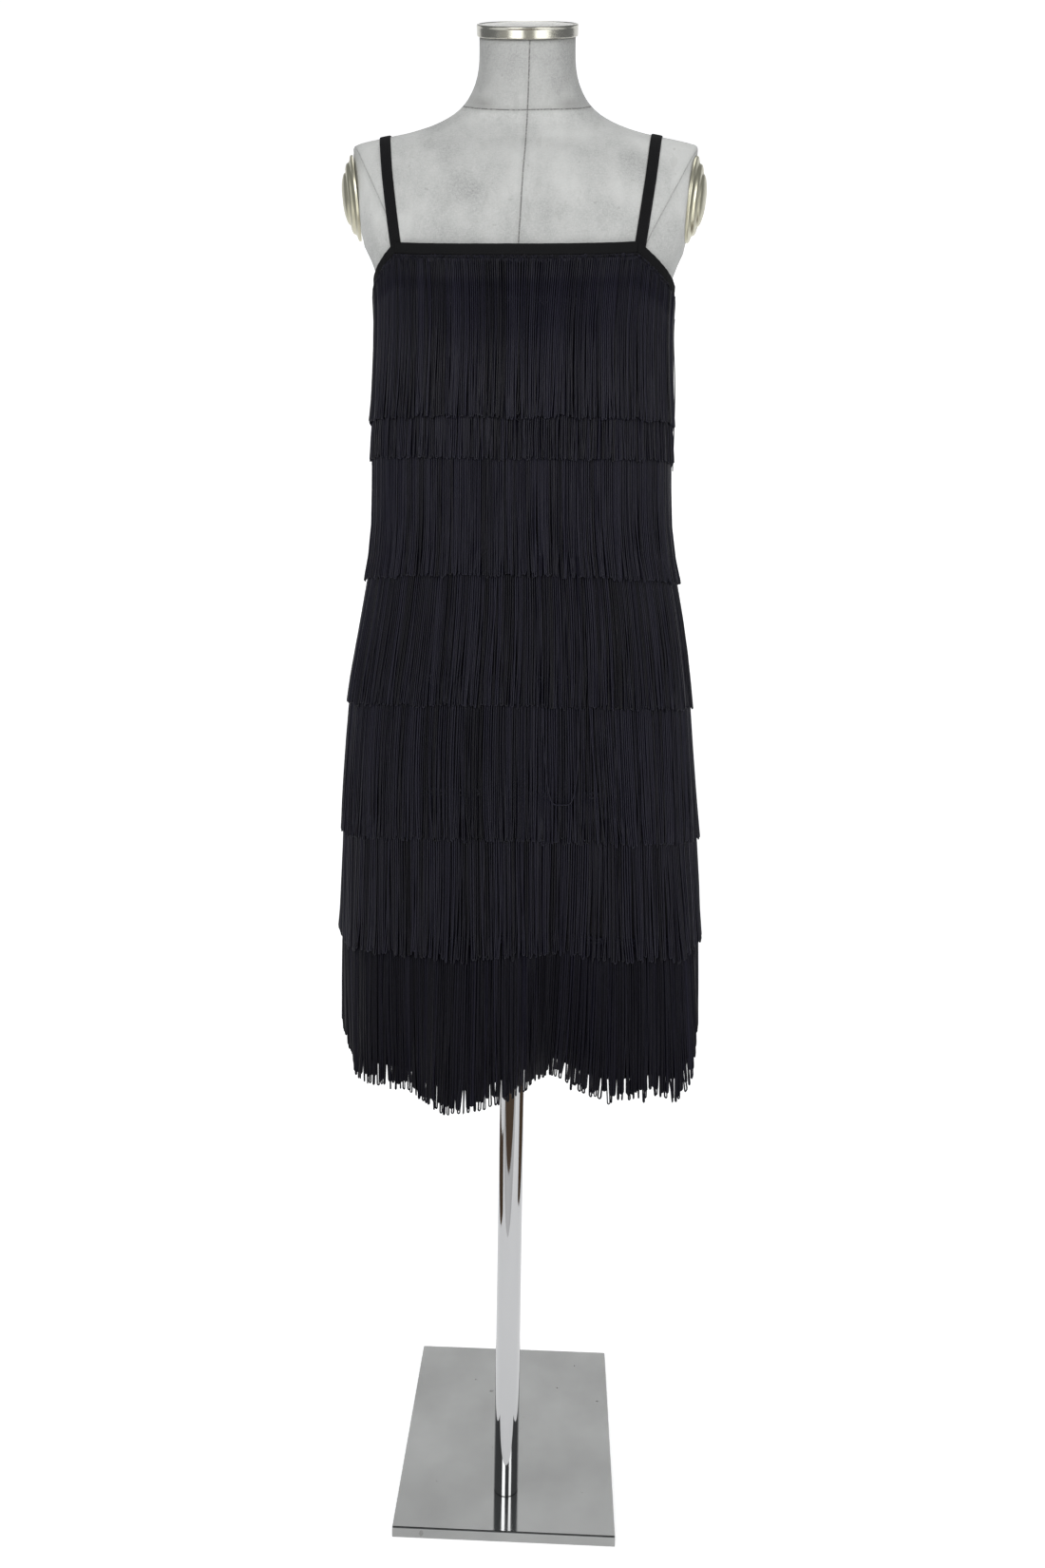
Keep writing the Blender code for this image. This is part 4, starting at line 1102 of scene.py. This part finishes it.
def build_studio():
    build_floor()
    build_cards()

    world = bpy.data.worlds.new("studio")
    bpy.context.scene.world = world
    world.use_nodes = True
    background = world.node_tree.nodes["Background"]
    background.inputs["Color"].default_value = (0.62, 0.64, 0.66, 1)
    background.inputs["Strength"].default_value = WORLD_STRENGTH

    # name, place, aim, size, watts
    lamps = (
        ("key", (-1.1, -2.9, 2.3), (0, 0, 1.15), (1.5, 1.5), 48),
        ("fill", (1.9, -2.3, 1.8), (0, 0, 1.1), (1.1, 1.6), 30),
        ("top", (0, 0.2, 3.4), (0, 0, 1.2), (1.6, 1.6), 14),
    )
    for name, place, aim, size, watts in lamps:
        lamp = bpy.data.lights.new(name, "AREA")
        lamp.shape = "RECTANGLE"
        lamp.size, lamp.size_y = size
        lamp.energy = watts
        made = add_object(name, lamp)
        made.location = place
        made.rotation_euler = (Vector(place) - Vector(aim)).to_track_quat("Z", "Y").to_euler()
    bpy.context.scene.view_settings.view_transform = "Standard"


def build_cards():
    """Cards laid round the stand, which only its metal shows. finish, then corners (x, y) in metres."""
    wood = Finish("card_wood", base_color=(0.12, 0.07, 0.035, 1), roughness=0.9).material
    lit = {"emission_strength": 1.0}
    dusk = Finish(
        "card_dusk", base_color=(0.2, 0.2, 0.19, 1), emission_color=(0.3, 0.295, 0.27, 1), **lit,
    ).material
    shade = Finish(
        "card_shade", base_color=(0.25, 0.25, 0.25, 1), emission_color=(0.6, 0.6, 0.6, 1), **lit,
    ).material
    glow = Finish("card_glow", emission_color=(2.3, 2.3, 2.2, 1), **lit).material
    cards = (
        (wood, ((-1.6, -0.28), (1.6, -1.24), (1.6, -1.35), (-1.6, -1.35))),
        (shade, ((-0.9, -0.29), (0.9, -0.83), (0.9, -1.03), (-0.9, -0.49))),
        (wood, ((-0.86, -0.22), (-0.56, -0.22), (-0.56, 0.7), (-0.86, 0.7))),
        (wood, ((0.62, -0.15), (2.6, -0.15), (2.6, 1.5), (0.62, 1.5))),
        (dusk, ((-0.47, -4.4), (1.04, -4.4), (1.04, -1.6), (-0.47, -1.6))),
        (dusk, ((-5.9, -4.5), (-2.4, -4.5), (-2.4, -1.9), (-5.9, -1.9))),
        (dusk, ((3.8, -4.5), (5.9, -4.5), (5.9, -1.9), (3.8, -1.9))),
        (glow, ((-2.3, -4.4), (-0.47, -4.4), (-0.47, -1.6), (-2.3, -1.6))),
        (glow, ((1.04, -4.4), (3.7, -4.4), (3.7, -1.6), (1.04, -1.6))),
    )
    for number, (finish, corners) in enumerate(cards):
        bm = bmesh.new()
        height = (CARD_HEIGHT + CARD_SPACING * number) * MM
        bm.faces.new([bm.verts.new((x, y, height)) for x, y in corners])
        bm.normal_update()
        card = bpy.data.meshes.new(f"studio_card_{number}")
        bm.to_mesh(card)
        bm.free()
        card.materials.append(finish)
        made = add_object(card.name, card)
        made.visible_camera = False
        made.visible_diffuse = False
        made.visible_shadow = False


def build_camera():
    camera = bpy.data.cameras.new("camera")
    camera.sensor_width = CAMERA_SENSOR
    camera.lens = CAMERA_LENS
    camera.shift_x, camera.shift_y = CAMERA_SHIFT
    camera.clip_start = 0.01
    made = add_object("camera", camera)
    x, y = CAMERA_DISTANCE * math.sin(CAMERA_AZIMUTH), -CAMERA_DISTANCE * math.cos(CAMERA_AZIMUTH)
    made.location = (x, y, CAMERA_HEIGHT)
    level = Matrix.Rotation(CAMERA_AZIMUTH, 3, "Z") @ Matrix.Rotation(math.pi / 2, 3, "X")
    made.rotation_euler = (level @ Matrix.Rotation(CAMERA_ROLL, 3, "Z")).to_euler()
    bpy.context.scene.camera = made


def skin_tree(made):
    corners = [vert.co.copy() for vert in made.data.vertices]
    return BVHTree.FromPolygons(corners, [tuple(face.vertices) for face in made.data.polygons])


def main():
    build_studio()
    build_camera()
    plated = nickel_finish("nickel_cap", 0, (0.42, 0.41, 0.36, 1), (0.58, 0.57, 0.52, 1))
    nickel = nickel_finish("nickel_plates", 0.16, (0.42, 0.40, 0.30, 1), (0.72, 0.70, 0.56, 1))
    torso = build_torso(form_cover_finish())
    build_neck_cap(plated)
    build_arm_plate("arm_plate_right_metal", 1, nickel)
    build_arm_plate("arm_plate_left_metal", -1, nickel)
    build_stand(chrome_finish(), plate_finish())
    build_cloth(cloth_finish())
    build_bindings(band_finish("binding_band", 420, 26, (0.62,)))
    skin = skin_tree(torso)
    strap_band = band_finish("strap_band", 300, 30, (0.16, 0.84))
    build_strap("strap_right_band", 1, skin, strap_band)
    build_strap("strap_left_band", -1, skin, strap_band)
    thread = thread_finish("fringe_thread", 0.2)
    hem_thread = thread_finish("hem_thread", 0.105)
    for order in range(len(FRINGE_TIERS)):
        build_fringe(order, hem_thread if order == len(FRINGE_TIERS) - 1 else thread)


main()
